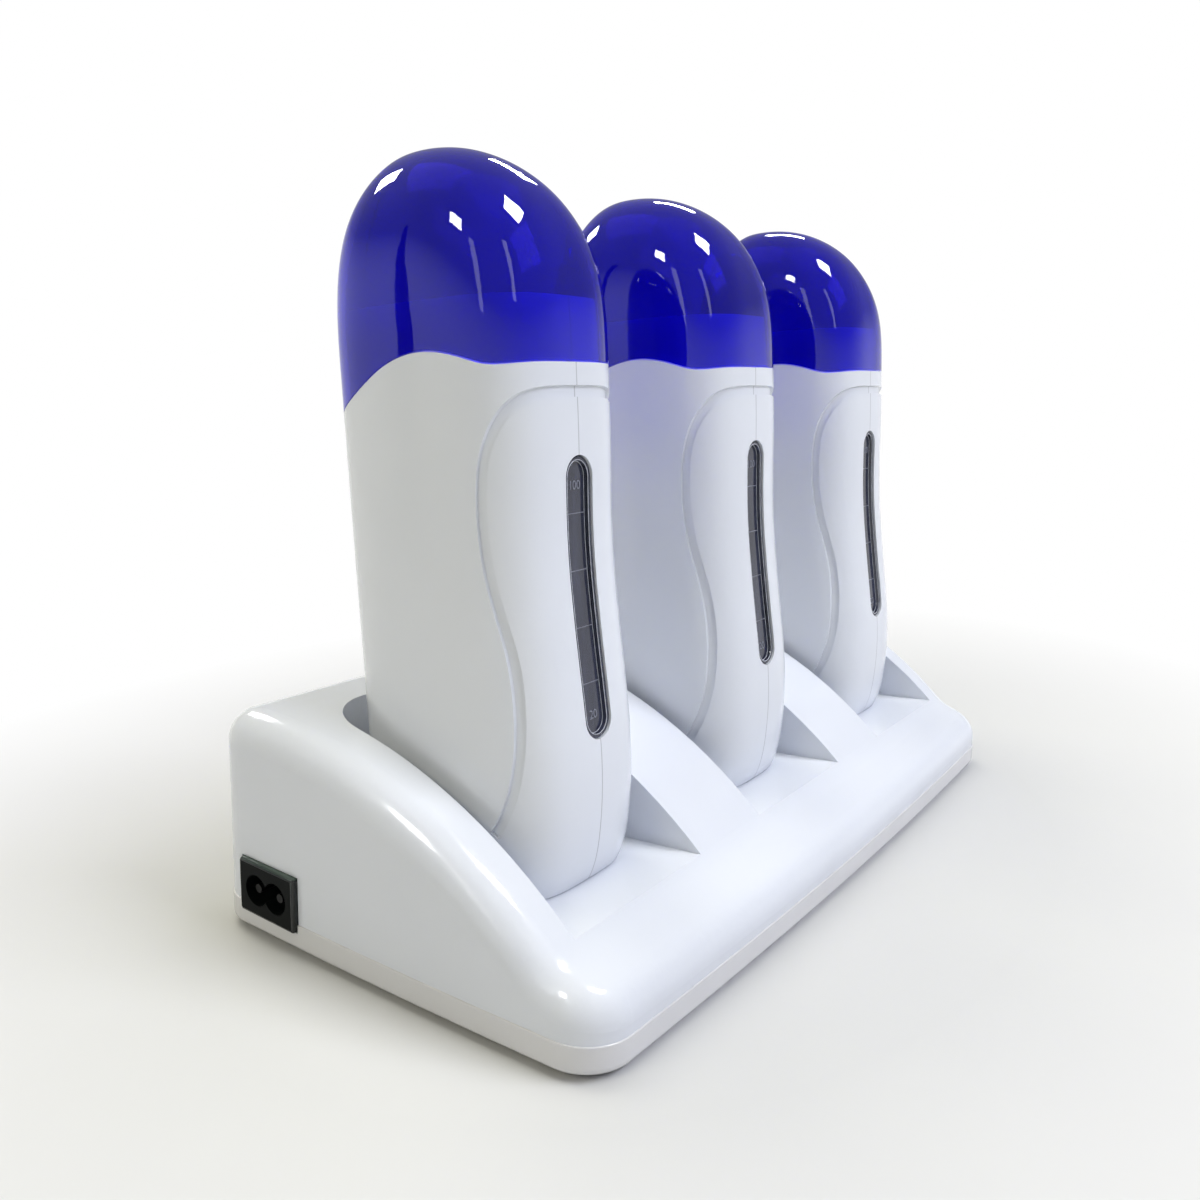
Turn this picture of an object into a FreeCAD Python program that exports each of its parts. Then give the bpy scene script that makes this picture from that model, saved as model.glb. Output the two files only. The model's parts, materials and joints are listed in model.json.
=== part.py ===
import FreeCAD, Part
import math
import os

import Sketcher

# Three-bay heater for roll-on wax: a mains base with three docked handsets, each with a lift-off cap.
# Millimetres, +Z up, X along the row of bays, -Y to the front. The origin is on the surface that the
# feet stand on, under the middle of the base. A handset has a frame of its own: U across its width,
# V from its front to its back and W up its length, from the middle of its flat bottom.

BAYS = (-1, 0, 1)
HALF = -0.5
# Each half of a handset's outline is drawn through this many even spans, measured in fine steps.
OUTLINE_SPANS = 12
OUTLINE_STEPS = 720
# Heights of the sections below the dome, and angles that space those of the dome closer towards its top.
STRAIGHT_HEIGHTS = (0.0, 4.0, 10.0, 20.0, 32.0, 46.0, 60.0, 74.0, 88.0, 102.0, 118.0, 130.0)
DOME_ANGLES = (6, 26, 45, 62, 76, 85)
# How far the line of the cap's rim is carried on past the handset, in front and behind.
RIM_REACH = 6.0
# Middle line of the groove: how far it stands in front of the handset's straight front, and its height
# above the window's lower end as a share of the window's length.
GROOVE_LINE = ((4.0, 1.22), (-1.6, 1.205), (-6.4, 1.135), (-9.9, 1.03), (-11.8, 0.82),
               (-10.4, 0.59), (-6.8, 0.36), (-5.3, 0.13), (-6.6, -0.08), (-13.0, -0.29))

# Every driving size: name, value, what it is.
SIZES = (
    ("bay_pitch", 90.0, "between neighbouring bays"),
    ("recline", 5.5, "degrees that a docked handset leans back"),
    ("dock_y", 1.5, "middle of a handset's bottom, from the base's middle"),
    ("dock_z", 21.0, "middle of a handset's bottom, above the table"),
    ("dock_gap", 0.3, "between a handset's bottom and the bay floor"),
    # base
    ("base_length", 271.4, "base, over the bowed ends"),
    ("base_depth", 128.0, "base, over the bowed front"),
    ("end_bow", 4.2, "how far each end draws in towards the front"),
    ("front_bow", 3.0, "how far the front swells"),
    ("front_corner", 13.0, "upright front corners, radius"),
    ("back_corner", 9.5, "upright back corners, radius"),
    ("foot_proud", 1.5, "how far the feet stand out of the tray"),
    ("seam_height", 9.2, "joint of tray and housing, above the table"),
    ("crown_height", 60.8, "top of the arched roof, above the table"),
    ("crown_y", 51.0, "where the roof is highest"),
    ("roof_radius", 144.0, "arched roof"),
    ("roof_slope_end", 41.0, "degrees of slope where the roof meets the valley"),
    ("valley_radius", 18.0, "hollow between the roof and the lip"),
    ("lip_slope", 17.0, "degrees of slope of the front lip"),
    ("ridge_radius", 8.5, "rounding all round the top of the housing"),
    ("base_wall", 2.5, "walls of housing and tray"),
    ("bay_side_gap", 3.3, "between a handset's side and its bay"),
    ("bay_back_gap", 5.2, "between a handset's back and its bay"),
    ("bay_corner", 16.0, "back corners of a bay, radius"),
    ("bay_floor", 2.4, "thickness of a bay floor"),
    ("tray_plate", 2.2, "bottom of the tray"),
    ("tray_edge", 2.2, "rounding round the bottom of the tray"),
    ("tray_proud", 0.35, "how far the tray stands out round the housing"),
    ("tray_brow", 0.3, "rounding round the top of the tray"),
    ("tongue_gap", 0.2, "between the tray's tongue and the housing's wall"),
    ("tongue_thick", 1.2, "tongue of the tray"),
    ("tongue_height", 2.5, "how far the tongue stands into the housing"),
    ("boss_radius", 3.6, "screw bosses of the housing"),
    ("post_radius", 4.6, "screw posts of the tray"),
    ("end_boss_x", 125.6, "screws at the ends, from the middle"),
    ("end_boss_front_y", -28.0, "front pair of end screws"),
    ("end_boss_back_y", 20.0, "back pair of end screws"),
    ("mid_boss_y", 42.0, "screws between the bays"),
    ("base_screw_radius", 1.45, "shank of a base screw"),
    ("base_screw_length", 10.0, "shank of a base screw"),
    ("screw_head_radius", 2.8, "head of a base screw"),
    ("screw_head_height", 1.9, "head of a base screw"),
    ("screw_ledge", 2.4, "plastic that a base screw clamps"),
    ("thread_gap", 0.05, "between a screw's shank and its hole"),
    ("head_gap", 0.4, "between a screw's head and its counterbore"),
    ("foot_radius", 6.0, "rubber feet"),
    ("foot_inset", 0.6, "how far the feet sit in the tray"),
    ("foot_x", 112.0, "feet, from the middle"),
    ("foot_y", 46.0, "feet, from the middle"),
    ("foot_chamfer", 0.5, "lower edge of a foot"),
    # figure-eight mains connector
    ("lobe_radius", 4.3, "lobes of the figure-eight socket"),
    ("lobe_spacing", 7.4, "between the lobes' middles"),
    ("socket_depth", 10.5, "depth of the socket"),
    ("socket_back", 2.0, "plastic behind the socket"),
    ("socket_wall", 1.6, "plastic round the socket"),
    ("socket_margin", 1.6, "how far a handset socket's flange reaches past its body"),
    ("pin_radius", 1.2, "contact pins"),
    ("pin_spacing", 8.6, "between the pins"),
    ("pin_sunk", 1.2, "how far the pins' tips lie behind the socket's mouth"),
    ("pin_tail", 3.5, "how far the pins stand out at the back"),
    ("tag_thick", 0.8, "solder tags of the inlet's pins, bent down"),
    ("tag_below", 1.4, "how far those tags reach below the wires' middle"),
    ("fixed_gap", 0.03, "round a pin or tube that is moulded in"),
    ("panel_gap", 0.12, "round a part that is set into a wall"),
    ("inlet_flange_width", 21.8, "flange of the base's inlet, along Y"),
    ("inlet_flange_height", 15.2, "flange of the base's inlet, along Z"),
    ("inlet_flange_thick", 3.1, "flange of the base's inlet, along X"),
    ("inlet_flange_chamfer", 0.9, "outer edge of that flange"),
    ("inlet_face_x", -137.1, "outer face of the inlet"),
    ("inlet_y", 42.5, "middle of the inlet"),
    ("inlet_z", 14.5, "middle of the inlet"),
    ("plug_gap", 0.3, "between a dock plug and a handset's socket"),
    ("plug_height", 9.0, "dock plug, above a handset's bottom plane"),
    ("plug_flange_thick", 2.4, "flange that holds a dock plug under the floor"),
    ("plug_flange_margin", 2.5, "how far that flange reaches past the plug"),
    ("contact_outer", 2.1, "contact tubes in a dock plug, outer radius"),
    ("contact_inner", 1.4, "contact tubes in a dock plug, bore radius"),
    ("contact_top_gap", 0.8, "how far the tubes lie under the plug's top"),
    ("contact_base", 6.0, "foot of the tubes, under the handset's bottom plane"),
    ("tail_radius", 1.0, "solder tails"),
    ("tail_length", 5.2, "solder tails under the contact tubes"),
    ("wire_radius", 1.1, "wires in the base"),
    ("wire_level", 12.8, "height of those wires"),
    ("wire_bend", 9.0, "bends of those wires"),
    ("wire_end_gap", 0.15, "between a wire's end and its terminal"),
    ("wire_sway", 5.0, "how far the wires between docks bow"),
    ("front_wire_x", -112.0, "where the front wire turns"),
    ("back_wire_x", -103.0, "where the back wire turns"),
    # handset shells
    ("grip_half_width", 24.9, "half of a handset's width"),
    ("grip_front", 32.2, "from a handset's axis to its front"),
    ("grip_back", 32.6, "from a handset's axis to its back"),
    ("grip_power", 3.5, "squareness of a handset's section"),
    ("belly_swell", 2.6, "how far the belly stands out at the front"),
    ("belly_height", 32.0, "height of the belly"),
    ("belly_spread", 26.0, "reach of the belly, up and down"),
    ("waist_dip", 0.9, "how far the waist lies in at the front"),
    ("waist_height", 88.0, "height of the waist"),
    ("waist_spread", 20.0, "reach of the waist, up and down"),
    ("toe_tuck", 3.9, "how far the toe draws in at the bottom"),
    ("toe_spread", 7.0, "reach of that"),
    ("shell_wall", 2.2, "walls of the handset shells"),
    ("shelf_low", 31.0, "underside of the shelf under the liner"),
    ("shelf_thick", 2.0, "shelf under the liner"),
    ("grip_void_top", 115.0, "where the wide cavity ends under the collar"),
    ("collar_top", 145.0, "top of the collar"),
    ("collar_inset", 2.2, "collar, inside the handset's outline"),
    ("collar_wall", 1.8, "wall of the collar"),
    ("collar_root", 111.0, "where the collar grows out of the shells"),
    ("groove_width", 2.6, "groove that frames the front"),
    ("groove_depth", 0.8, "groove that frames the front"),
    ("window_low", 38.0, "lower end of the window"),
    ("window_high", 108.0, "upper end of the window"),
    ("window_half", 5.3, "half of the window's width"),
    ("lens_sunk", 0.6, "how far the lens lies under the shell's face"),
    ("lens_step", 2.35, "depth of the lens where its flange starts"),
    ("lens_flange", 1.0, "thickness of the lens's flange"),
    ("lens_flange_margin", 2.0, "how far the flange reaches past the window"),
    ("column_radius", 2.9, "screw columns of the shells"),
    ("toe_screw_v", 19.0, "lower screws, in front of and behind the axis"),
    ("toe_screw_w", 12.0, "height of the lower screws"),
    ("back_screw_v", 27.2, "screws along the back"),
    ("back_screw_low", 52.0, "lower one of those"),
    ("back_screw_high", 102.0, "upper one of those"),
    ("shell_screw_radius", 1.1, "shank of a shell screw"),
    ("shell_screw_length", 14.0, "shank of a shell screw"),
    ("shell_screw_head", 2.2, "head of a shell screw, radius"),
    ("shell_screw_head_height", 1.6, "head of a shell screw"),
    ("shell_screw_seat", 8.0, "seat of the heads, from the joint of the shells"),
    # inside a handset
    ("liner_half_width", 18.6, "cartridge liner, half of its width"),
    ("liner_front", 27.4, "cartridge liner, from the axis to its front"),
    ("liner_back", 23.8, "cartridge liner, from the axis to its back"),
    ("liner_corner", 11.0, "cartridge liner, corner radius"),
    ("liner_wall", 1.0, "cartridge liner"),
    ("liner_top", 143.5, "top of the cartridge liner"),
    ("liner_seat_gap", 0.2, "between the liner and its shelf"),
    ("heater_length", 42.0, "heater plate, along W"),
    ("heater_width", 25.0, "heater plate, along V"),
    ("heater_thick", 2.8, "heater plate, along U"),
    ("heater_corner", 1.5, "corners of the heater plate"),
    ("heater_low", 58.0, "lower end of the heater plate"),
    ("heater_gap", 0.1, "between the liner and the heater plate"),
    ("fuse_radius", 1.8, "thermal fuse"),
    ("fuse_length", 12.0, "thermal fuse"),
    ("fuse_height", 52.0, "thermal fuse, height of its middle"),
    ("lead_radius", 0.9, "leads in a handset"),
    ("lead_bend", 4.0, "bends of those leads"),
    ("lead_cross_w", 23.5, "height at which the leads cross to the side"),
    ("lead_hole_gap", 0.6, "round the leads in the shelf"),
    # cap
    ("cap_top", 184.0, "top of the cap"),
    ("cap_crest_v", 11.5, "where the dome is highest, behind the axis"),
    ("dome_front_start", 139.8, "where the front starts to curve over"),
    ("dome_back_start", 137.2, "where the back starts to curve over"),
    ("dome_side_start", 158.0, "where the sides start to curve in"),
    ("dome_front_power", 2.25, "fullness of the dome at the front"),
    ("dome_back_power", 2.36, "fullness of the dome at the back"),
    ("dome_side_power", 1.85, "fullness of the dome at the sides"),
    ("cap_wall", 1.8, "wall of the cap"),
    ("cap_gap", 0.3, "between the cap's rim and the shells"),
    ("rim_front", 129.6, "cap rim at the front"),
    ("rim_dip", 0.5, "how far the rim dips behind the front corner"),
    ("rim_crest", 133.2, "cap rim at its highest, over the sides"),
    ("rim_crest_v", -5.0, "where that is"),
    ("rim_back", 117.8, "cap rim at the back"),
)


class Size:
    """A number together with the expression that gives it from the sheet."""

    def __init__(self, value, text):
        self.value = value
        self.text = text

    def joined(self, sign, other, value):
        return Size(value, "(%s %s %s)" % (self.text, sign, other.text))

    def __add__(self, other):
        other = as_size(other)
        return self.joined("+", other, self.value + other.value)

    def __sub__(self, other):
        other = as_size(other)
        return self.joined("-", other, self.value - other.value)

    def __mul__(self, other):
        other = as_size(other)
        return self.joined("*", other, self.value * other.value)

    def __truediv__(self, other):
        other = as_size(other)
        return self.joined("/", other, self.value / other.value)

    def __neg__(self):
        return Size(-self.value, "(0 - %s)" % self.text)

    def __radd__(self, other):
        return as_size(other) + self

    def __rsub__(self, other):
        return as_size(other) - self

    def __rmul__(self, other):
        return as_size(other) * self


def as_size(number):
    return number if isinstance(number, Size) else Size(float(number), "(%s)" % float(number))


def sine(angle):
    return Size(math.sin(math.radians(angle.value)), "sin(%s)" % angle.text)


def cosine(angle):
    return Size(math.cos(math.radians(angle.value)), "cos(%s)" % angle.text)


def tangent(angle):
    return sine(angle) / cosine(angle)


def root(number):
    return Size(math.sqrt(number.value), "sqrt(%s)" % number.text)


doc = FreeCAD.newDocument("wax_heater")


def make_sheet():
    """The sheet of driving sizes, and a named Size for each of its cells."""
    sheet = doc.addObject("Spreadsheet::Sheet", "Sizes")
    for row, (name, value, meaning) in enumerate(SIZES, start=1):
        sheet.set("A%d" % row, name)
        sheet.set("B%d" % row, str(value))
        sheet.set("C%d" % row, meaning)
        sheet.setAlias("B%d" % row, name)
    doc.recompute()
    return {name: Size(float(getattr(sheet, name)), "Sizes.%s" % name) for name, _, _ in SIZES}


class Named:
    """The sizes as attributes."""

    def __init__(self, table):
        self.__dict__.update(table)


s = Named(make_sheet())


# ---------------------------------------------------------------- helpers


def bind(thing, prop, number):
    """Give a property its size, as an expression on the sheet where it is one."""
    if isinstance(number, Size):
        thing.setExpression(prop, number.text)
    else:
        setattr(thing, prop, number)


def set_place(thing, x, y, z, lean=None):
    """Bind a Placement: a point, and a lean about X in degrees."""
    turn = as_size(0.0) if lean is None else lean
    place = "placement(vector(%s; %s; %s); vector(1; 0; 0); %s)"
    thing.setExpression("Placement", place % (as_size(x).text, as_size(y).text, as_size(z).text, turn.text))


def arc_middle(start, end, radius, side, major):
    """The point halfway along an arc between two points; side is +1 when it swells to the right."""
    dx, dy = end[0] - start[0], end[1] - start[1]
    chord = math.hypot(dx, dy)
    rise = math.sqrt(max(radius * radius - chord * chord / 4, 0.0))
    height = (radius + rise if major else radius - rise) * side
    return ((start[0] + end[0]) / 2 + dy / chord * height, (start[1] + end[1]) / 2 - dx / chord * height)


class Piece:
    """A PartDesign body that is built up feature by feature."""

    def __init__(self, label):
        self.body = doc.addObject("PartDesign::Body", label)
        self.body.Label = label

    def sketch(self, plane, height=None):
        support = [item for item in self.body.Origin.OriginFeatures if item.Role == plane][0]
        sketch = self.body.newObject("Sketcher::SketchObject", self.body.Label + "_sketch")
        sketch.AttachmentSupport = [(support, "")]
        sketch.MapMode = "FlatFace"
        if height is not None:
            bind_offset(sketch, height)
        return sketch

    def feature(self, kind, **settings):
        feature = self.body.newObject("PartDesign::" + kind, self.body.Label + "_" + kind.lower())
        for prop, number in settings.items():
            bind(feature, prop, number)
        return feature

    def pad(self, sketch, length, reverse=False):
        return self.finish(self.feature("Pad", Profile=sketch, Length=length, Reversed=reverse))

    def pad_both(self, sketch, length):
        feature = self.feature("Pad", Profile=sketch, Length=length)
        feature.SideType = "Symmetric"
        return self.finish(feature)

    def pocket(self, sketch, length, reverse=False):
        return self.finish(self.feature("Pocket", Profile=sketch, Length=length, Reversed=reverse))

    def pocket_both(self, sketch, length):
        feature = self.feature("Pocket", Profile=sketch, Length=length)
        feature.SideType = "Symmetric"
        return self.finish(feature)

    def spin(self, sketch):
        """A full turn about the sketch's upright axis."""
        feature = self.feature("Revolution", Profile=sketch)
        feature.ReferenceAxis = (sketch, ["V_Axis"])
        feature.Angle = 360.0
        return self.finish(feature)

    def pipe(self, profile, path):
        doc.recompute()
        feature = self.feature("AdditivePipe", Profile=profile)
        feature.Spine = (path, ["Edge%d" % (n + 1) for n in range(len(path.Shape.Edges))])
        return self.finish(feature)

    def round_edges(self, test, radius, kind="Fillet"):
        """Fillet or chamfer the edges of the present shape that pass a test."""
        doc.recompute()
        base = self.body.Tip
        names = ["Edge%d" % (n + 1) for n, edge in enumerate(base.Shape.Edges) if test(edge)]
        feature = self.body.newObject("PartDesign::" + kind, self.body.Label + "_" + kind.lower())
        feature.Base = (base, names)
        bind(feature, "Radius" if kind == "Fillet" else "Size", radius)
        return self.finish(feature)

    def finish(self, feature):
        self.body.Tip = feature
        return feature


def bind_offset(sketch, height):
    if isinstance(height, Size):
        sketch.setExpression("AttachmentOffset.Base.z", height.text)
    else:
        sketch.AttachmentOffset = FreeCAD.Placement(FreeCAD.Vector(0, 0, height), FreeCAD.Rotation())


def bind_point(sketch, item, end, x, y):
    for kind, number in (("DistanceX", x), ("DistanceY", y)):
        number = as_size(number)
        index = sketch.addConstraint(Sketcher.Constraint(kind, item, end, number.value))
        sketch.setExpression("Constraints[%d]" % index, number.text)


def bind_level(sketch, item, y):
    """Hold an arc's centre level with its ends, which makes it a half circle."""
    index = sketch.addConstraint(Sketcher.Constraint("DistanceY", item, 3, as_size(y).value))
    sketch.setExpression("Constraints[%d]" % index, as_size(y).text)


def bind_radius(sketch, item, radius):
    index = sketch.addConstraint(Sketcher.Constraint("Radius", item, as_size(radius).value))
    sketch.setExpression("Constraints[%d]" % index, as_size(radius).text)


def chain(sketch, corners, closed=True):
    """Sides through corners (x, y). With (x, y, radius, side) the side that starts there is an arc that
    swells to the right of travel for side +1 and to the left for -1, and is the long way round for +-2.
    A half circle between level ends, swelling to the left, has side HALF."""
    places = [(as_size(c[0]).value, as_size(c[1]).value) for c in corners]
    count = len(corners) if closed else len(corners) - 1
    ends = []
    for n in range(count):
        start, end = places[n], places[(n + 1) % len(corners)]
        first, last = FreeCAD.Vector(*start, 0), FreeCAD.Vector(*end, 0)
        if len(corners[n]) == 2:
            item = sketch.addGeometry(Part.LineSegment(first, last), False)
            ends.append((item, 1, 2))
            continue
        radius, side = corners[n][2], corners[n][3]
        middle = arc_middle(start, end, as_size(radius).value, math.copysign(1, side), abs(side) == 2)
        if side < 0:
            first, last = last, first
        item = sketch.addGeometry(Part.Arc(first, FreeCAD.Vector(*middle, 0), last), False)
        ends.append((item, 2, 1) if side < 0 else (item, 1, 2))
        if side == HALF:
            bind_level(sketch, item, corners[n][1])
        else:
            bind_radius(sketch, item, radius)
    for n in range(count):
        bind_point(sketch, ends[n][0], ends[n][1], corners[n][0], corners[n][1])
        if n + 1 < count or closed:
            after = ends[(n + 1) % count]
            meet = Sketcher.Constraint("Coincident", ends[n][0], ends[n][2], after[0], after[1])
            sketch.addConstraint(meet)
    if not closed:
        bind_point(sketch, ends[-1][0], ends[-1][2], corners[-1][0], corners[-1][1])
    return sketch


def rectangle(sketch, x_low, y_low, x_high, y_high):
    return chain(sketch, [(x_low, y_low), (x_high, y_low), (x_high, y_high), (x_low, y_high)])


def circle(sketch, x, y, radius):
    centre = FreeCAD.Vector(as_size(x).value, as_size(y).value, 0)
    item = sketch.addGeometry(Part.Circle(centre, FreeCAD.Vector(0, 0, 1), as_size(radius).value), False)
    bind_point(sketch, item, 3, x, y)
    bind_radius(sketch, item, radius)
    return sketch


def stadium(sketch, half, low, high):
    """An upright slot with round ends."""
    return chain(sketch, [(-half, high - half, half, HALF), (half, high - half),
                          (half, low + half, half, HALF), (-half, low + half)])


def figure_eight(sketch, x=0, y=0, along="y", grow=0.0):
    """Two overlapping lobes round a point, in a row along one axis; grow is added to their radius."""
    radius = s.lobe_radius + grow
    half = s.lobe_spacing / 2
    waist = root(radius * radius - half * half)
    if along == "x":
        return chain(sketch, [(x, y - waist, radius, 2), (x, y + waist, radius, 2)])
    return chain(sketch, [(x + waist, y, radius, 2), (x - waist, y, radius, 2)])


def edge_runs(edge, direction):
    """True for a straight edge along a direction."""
    if edge.Curve.TypeId != "Part::GeomLine":
        return False
    return abs(edge.tangentAt(edge.FirstParameter).dot(FreeCAD.Vector(*direction))) > 0.999


def middle_of(edge):
    return edge.valueAt((edge.FirstParameter + edge.LastParameter) / 2)


def combined(kind, label, base, tool):
    """Part::Cut, Part::Common or Part::Fuse of two objects."""
    result = doc.addObject("Part::" + kind, label)
    result.Label = label
    result.Base, result.Tool = base, tool
    return result


def fused(label, things):
    result = doc.addObject("Part::MultiFuse", label)
    result.Shapes = things
    return result


def grouped(label, things):
    """Separate solids kept together as one node."""
    result = doc.addObject("Part::Compound", label)
    result.Label = label
    result.Links = things
    return result


def copy_at(source, label, x, y, z, lean=None):
    """A body that repeats another object in another place."""
    body = doc.addObject("PartDesign::Body", label)
    body.Label = label
    body.BaseFeature = source
    set_place(body, x, y, z, lean)
    return body


def cylinder(label, radius, height, x, y, z):
    thing = doc.addObject("Part::Cylinder", label)
    bind(thing, "Radius", radius)
    bind(thing, "Height", height)
    set_place(thing, x, y, z)
    return thing


def block(label, low, high):
    """A Part::Box between two corners of Sizes."""
    thing = doc.addObject("Part::Box", label)
    for prop, near, far in zip(("Length", "Width", "Height"), low, high):
        bind(thing, prop, as_size(far) - as_size(near))
    set_place(thing, *low)
    return thing


def bow_radius(chord, rise):
    return (chord * chord / 4 + rise * rise) / (rise * 2)


NODES = []


def node(thing, label):
    """Name an object as one of the pieces that are written out."""
    thing.Label = label
    NODES.append(thing)
    return thing


# ---------------------------------------------------------------- base


def bay_x(bay):
    return s.bay_pitch * bay


def plan_outline(sketch, inset):
    """The base seen from above: bowed front, straight back, ends that curve in towards the front."""
    wide = s.base_length / 2 - inset
    narrow = wide - s.end_bow
    back = s.base_depth / 2 - inset
    front = back - s.front_bow
    depth = front + back
    side_radius = (depth * depth + s.end_bow * s.end_bow) / (s.end_bow * 2)
    return chain(sketch, [(-narrow, -front, bow_radius(narrow * 2, s.front_bow), 1),
                          (narrow, -front, side_radius, 1), (wide, back), (-wide, back, side_radius, 1)])


def plan_prism(label, inset, low, high):
    """The base's plan, raised between two heights, with its upright corners rounded."""
    piece = Piece(label)
    piece.pad(plan_outline(piece.sketch("XY_Plane", low), inset), high - low)
    for corner, side in ((s.front_corner, -1), (s.back_corner, 1)):
        def upright(edge):
            return edge_runs(edge, (0, 0, 1)) and middle_of(edge).y * side > 0

        piece.round_edges(upright, corner - inset)
    return piece


def roofed_form(label, inset, low):
    """Plan prism under the arched roof, valley and lip, all set in by one amount."""
    piece = plan_prism(label, inset, low, s.crown_height + 4)
    centre_z = s.crown_height - s.roof_radius
    radius = s.roof_radius - inset
    valley = s.valley_radius + inset
    reach = s.base_depth / 2 + 10
    back_z = centre_z + root(radius * radius - (reach - s.crown_y) * (reach - s.crown_y))
    steep, shallow = s.roof_slope_end, s.lip_slope
    start = (s.crown_y - radius * sine(steep), centre_z + radius * cosine(steep))
    middle = (start[0] - valley * sine(steep), start[1] + valley * cosine(steep))
    end = (middle[0] + valley * sine(shallow), middle[1] - valley * cosine(shallow))
    front_z = end[1] - (end[0] + reach) * tangent(shallow)
    above = s.crown_height + 12
    outline = [(reach, back_z, radius, 1), (start[0], start[1], valley, -1), end, (-reach, front_z),
               (-reach, above), (reach, above)]
    piece.pocket_both(chain(piece.sketch("YZ_Plane"), outline), s.base_length + 40)
    floor = low.value

    def on_brim(edge):
        point = middle_of(edge)
        inner = abs(point.x) < s.base_length.value / 2 - 20 and abs(point.y) < s.base_depth.value / 2 - 10
        upright = edge_runs(edge, (0, 0, 1))
        return not inner and not upright and min(v.Point.z for v in edge.Vertexes) > floor + 1

    piece.round_edges(on_brim, s.ridge_radius - inset)
    return piece


def bay_solid(label, grow, low, high):
    """A bay in a handset's frame: straight sides, open to the front, round back corners."""
    piece = Piece(label)
    half = s.grip_half_width + s.bay_side_gap + grow
    back = s.grip_back + s.bay_back_gap + grow
    sketch = rectangle(piece.sketch("XY_Plane", low), -half, -s.base_depth * 0.6, half, back)
    piece.pad(sketch, high - low)

    def back_corner(edge):
        return edge_runs(edge, (0, 0, 1)) and middle_of(edge).y > 0

    piece.round_edges(back_corner, s.bay_corner + grow)
    return piece


def screw_places():
    """X, Y of the screws that join tray and housing."""
    ends = [(s.end_boss_x * side, y) for side in (-1, 1) for y in (s.end_boss_front_y, s.end_boss_back_y)]
    return ends + [(s.bay_pitch * side / 2, s.mid_boss_y) for side in (-1, 1)]


def in_every_bay(source, label):
    """Three copies of a thing that is made in the handset's frame, one leaning in each bay."""
    lean = -s.recline
    return [copy_at(source, "%s_%d" % (label, n + 1), bay_x(bay), s.dock_y, s.dock_z, lean)
            for n, bay in enumerate(BAYS)]


def inlet_block(label, x_low, x_high, grow_y, grow_z):
    """A box round the inlet's axis, for cutting its way in."""
    low = (x_low, s.inlet_y - grow_y, s.inlet_z - grow_z)
    return block(label, low, (x_high, s.inlet_y + grow_y, s.inlet_z + grow_z))


def inlet_cutout(label):
    """Seat for the inlet's flange and passage for its body, shared by housing and tray."""
    half_y = s.inlet_flange_width / 2 + s.panel_gap
    half_z = s.inlet_flange_height / 2 + s.panel_gap
    seat_x = s.inlet_face_x + s.inlet_flange_thick
    seat = inlet_block(label + "_seat", s.inlet_face_x - 5, seat_x, half_y, half_z)
    body_y, body_z = socket_body_half()
    way = inlet_block(label + "_way", seat_x - 1, seat_x + 8, body_y + s.panel_gap, body_z + s.panel_gap)
    return fused(label, [seat, way])


def make_housing():
    """Upper casing: arched roof with three bays, hollow below, with bosses for the screws."""
    form = roofed_form("housing_form", as_size(0.0), s.seam_height)
    hollow = roofed_form("housing_hollow", s.base_wall, s.seam_height - 1)
    floor = -s.dock_gap
    wall = bay_solid("bay_wall", s.base_wall, floor - s.bay_floor, s.crown_height + 20)
    pocket = bay_solid("bay_pocket", as_size(0.0), floor, s.crown_height + 24)
    bosses = [cylinder("boss", s.boss_radius, s.crown_height, x, y, s.seam_height - 2)
              for x, y in screw_places()]
    kept = fused("kept_inside", in_every_bay(wall.body, "bay_wall_copy") + bosses)
    core = combined("Cut", "housing_core", hollow.body, kept)
    pockets = in_every_bay(pocket.body, "bay_pocket_copy")
    slot = Piece("plug_slot")
    slot.pad_both(figure_eight(slot.sketch("XY_Plane")), s.plug_height * 2)
    slots = in_every_bay(slot.body, "plug_slot_copy")
    pilots = [cylinder("pilot", s.base_screw_radius + s.thread_gap, s.base_screw_length + 3, x, y,
                       s.seam_height - 3) for x, y in screw_places()]
    removed = fused("housing_cuts", [core] + pockets + slots + pilots + [inlet_cutout("housing_inlet_cut")])
    node(combined("Cut", "base_top_housing", form.body, removed), "base_top_housing")


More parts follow.
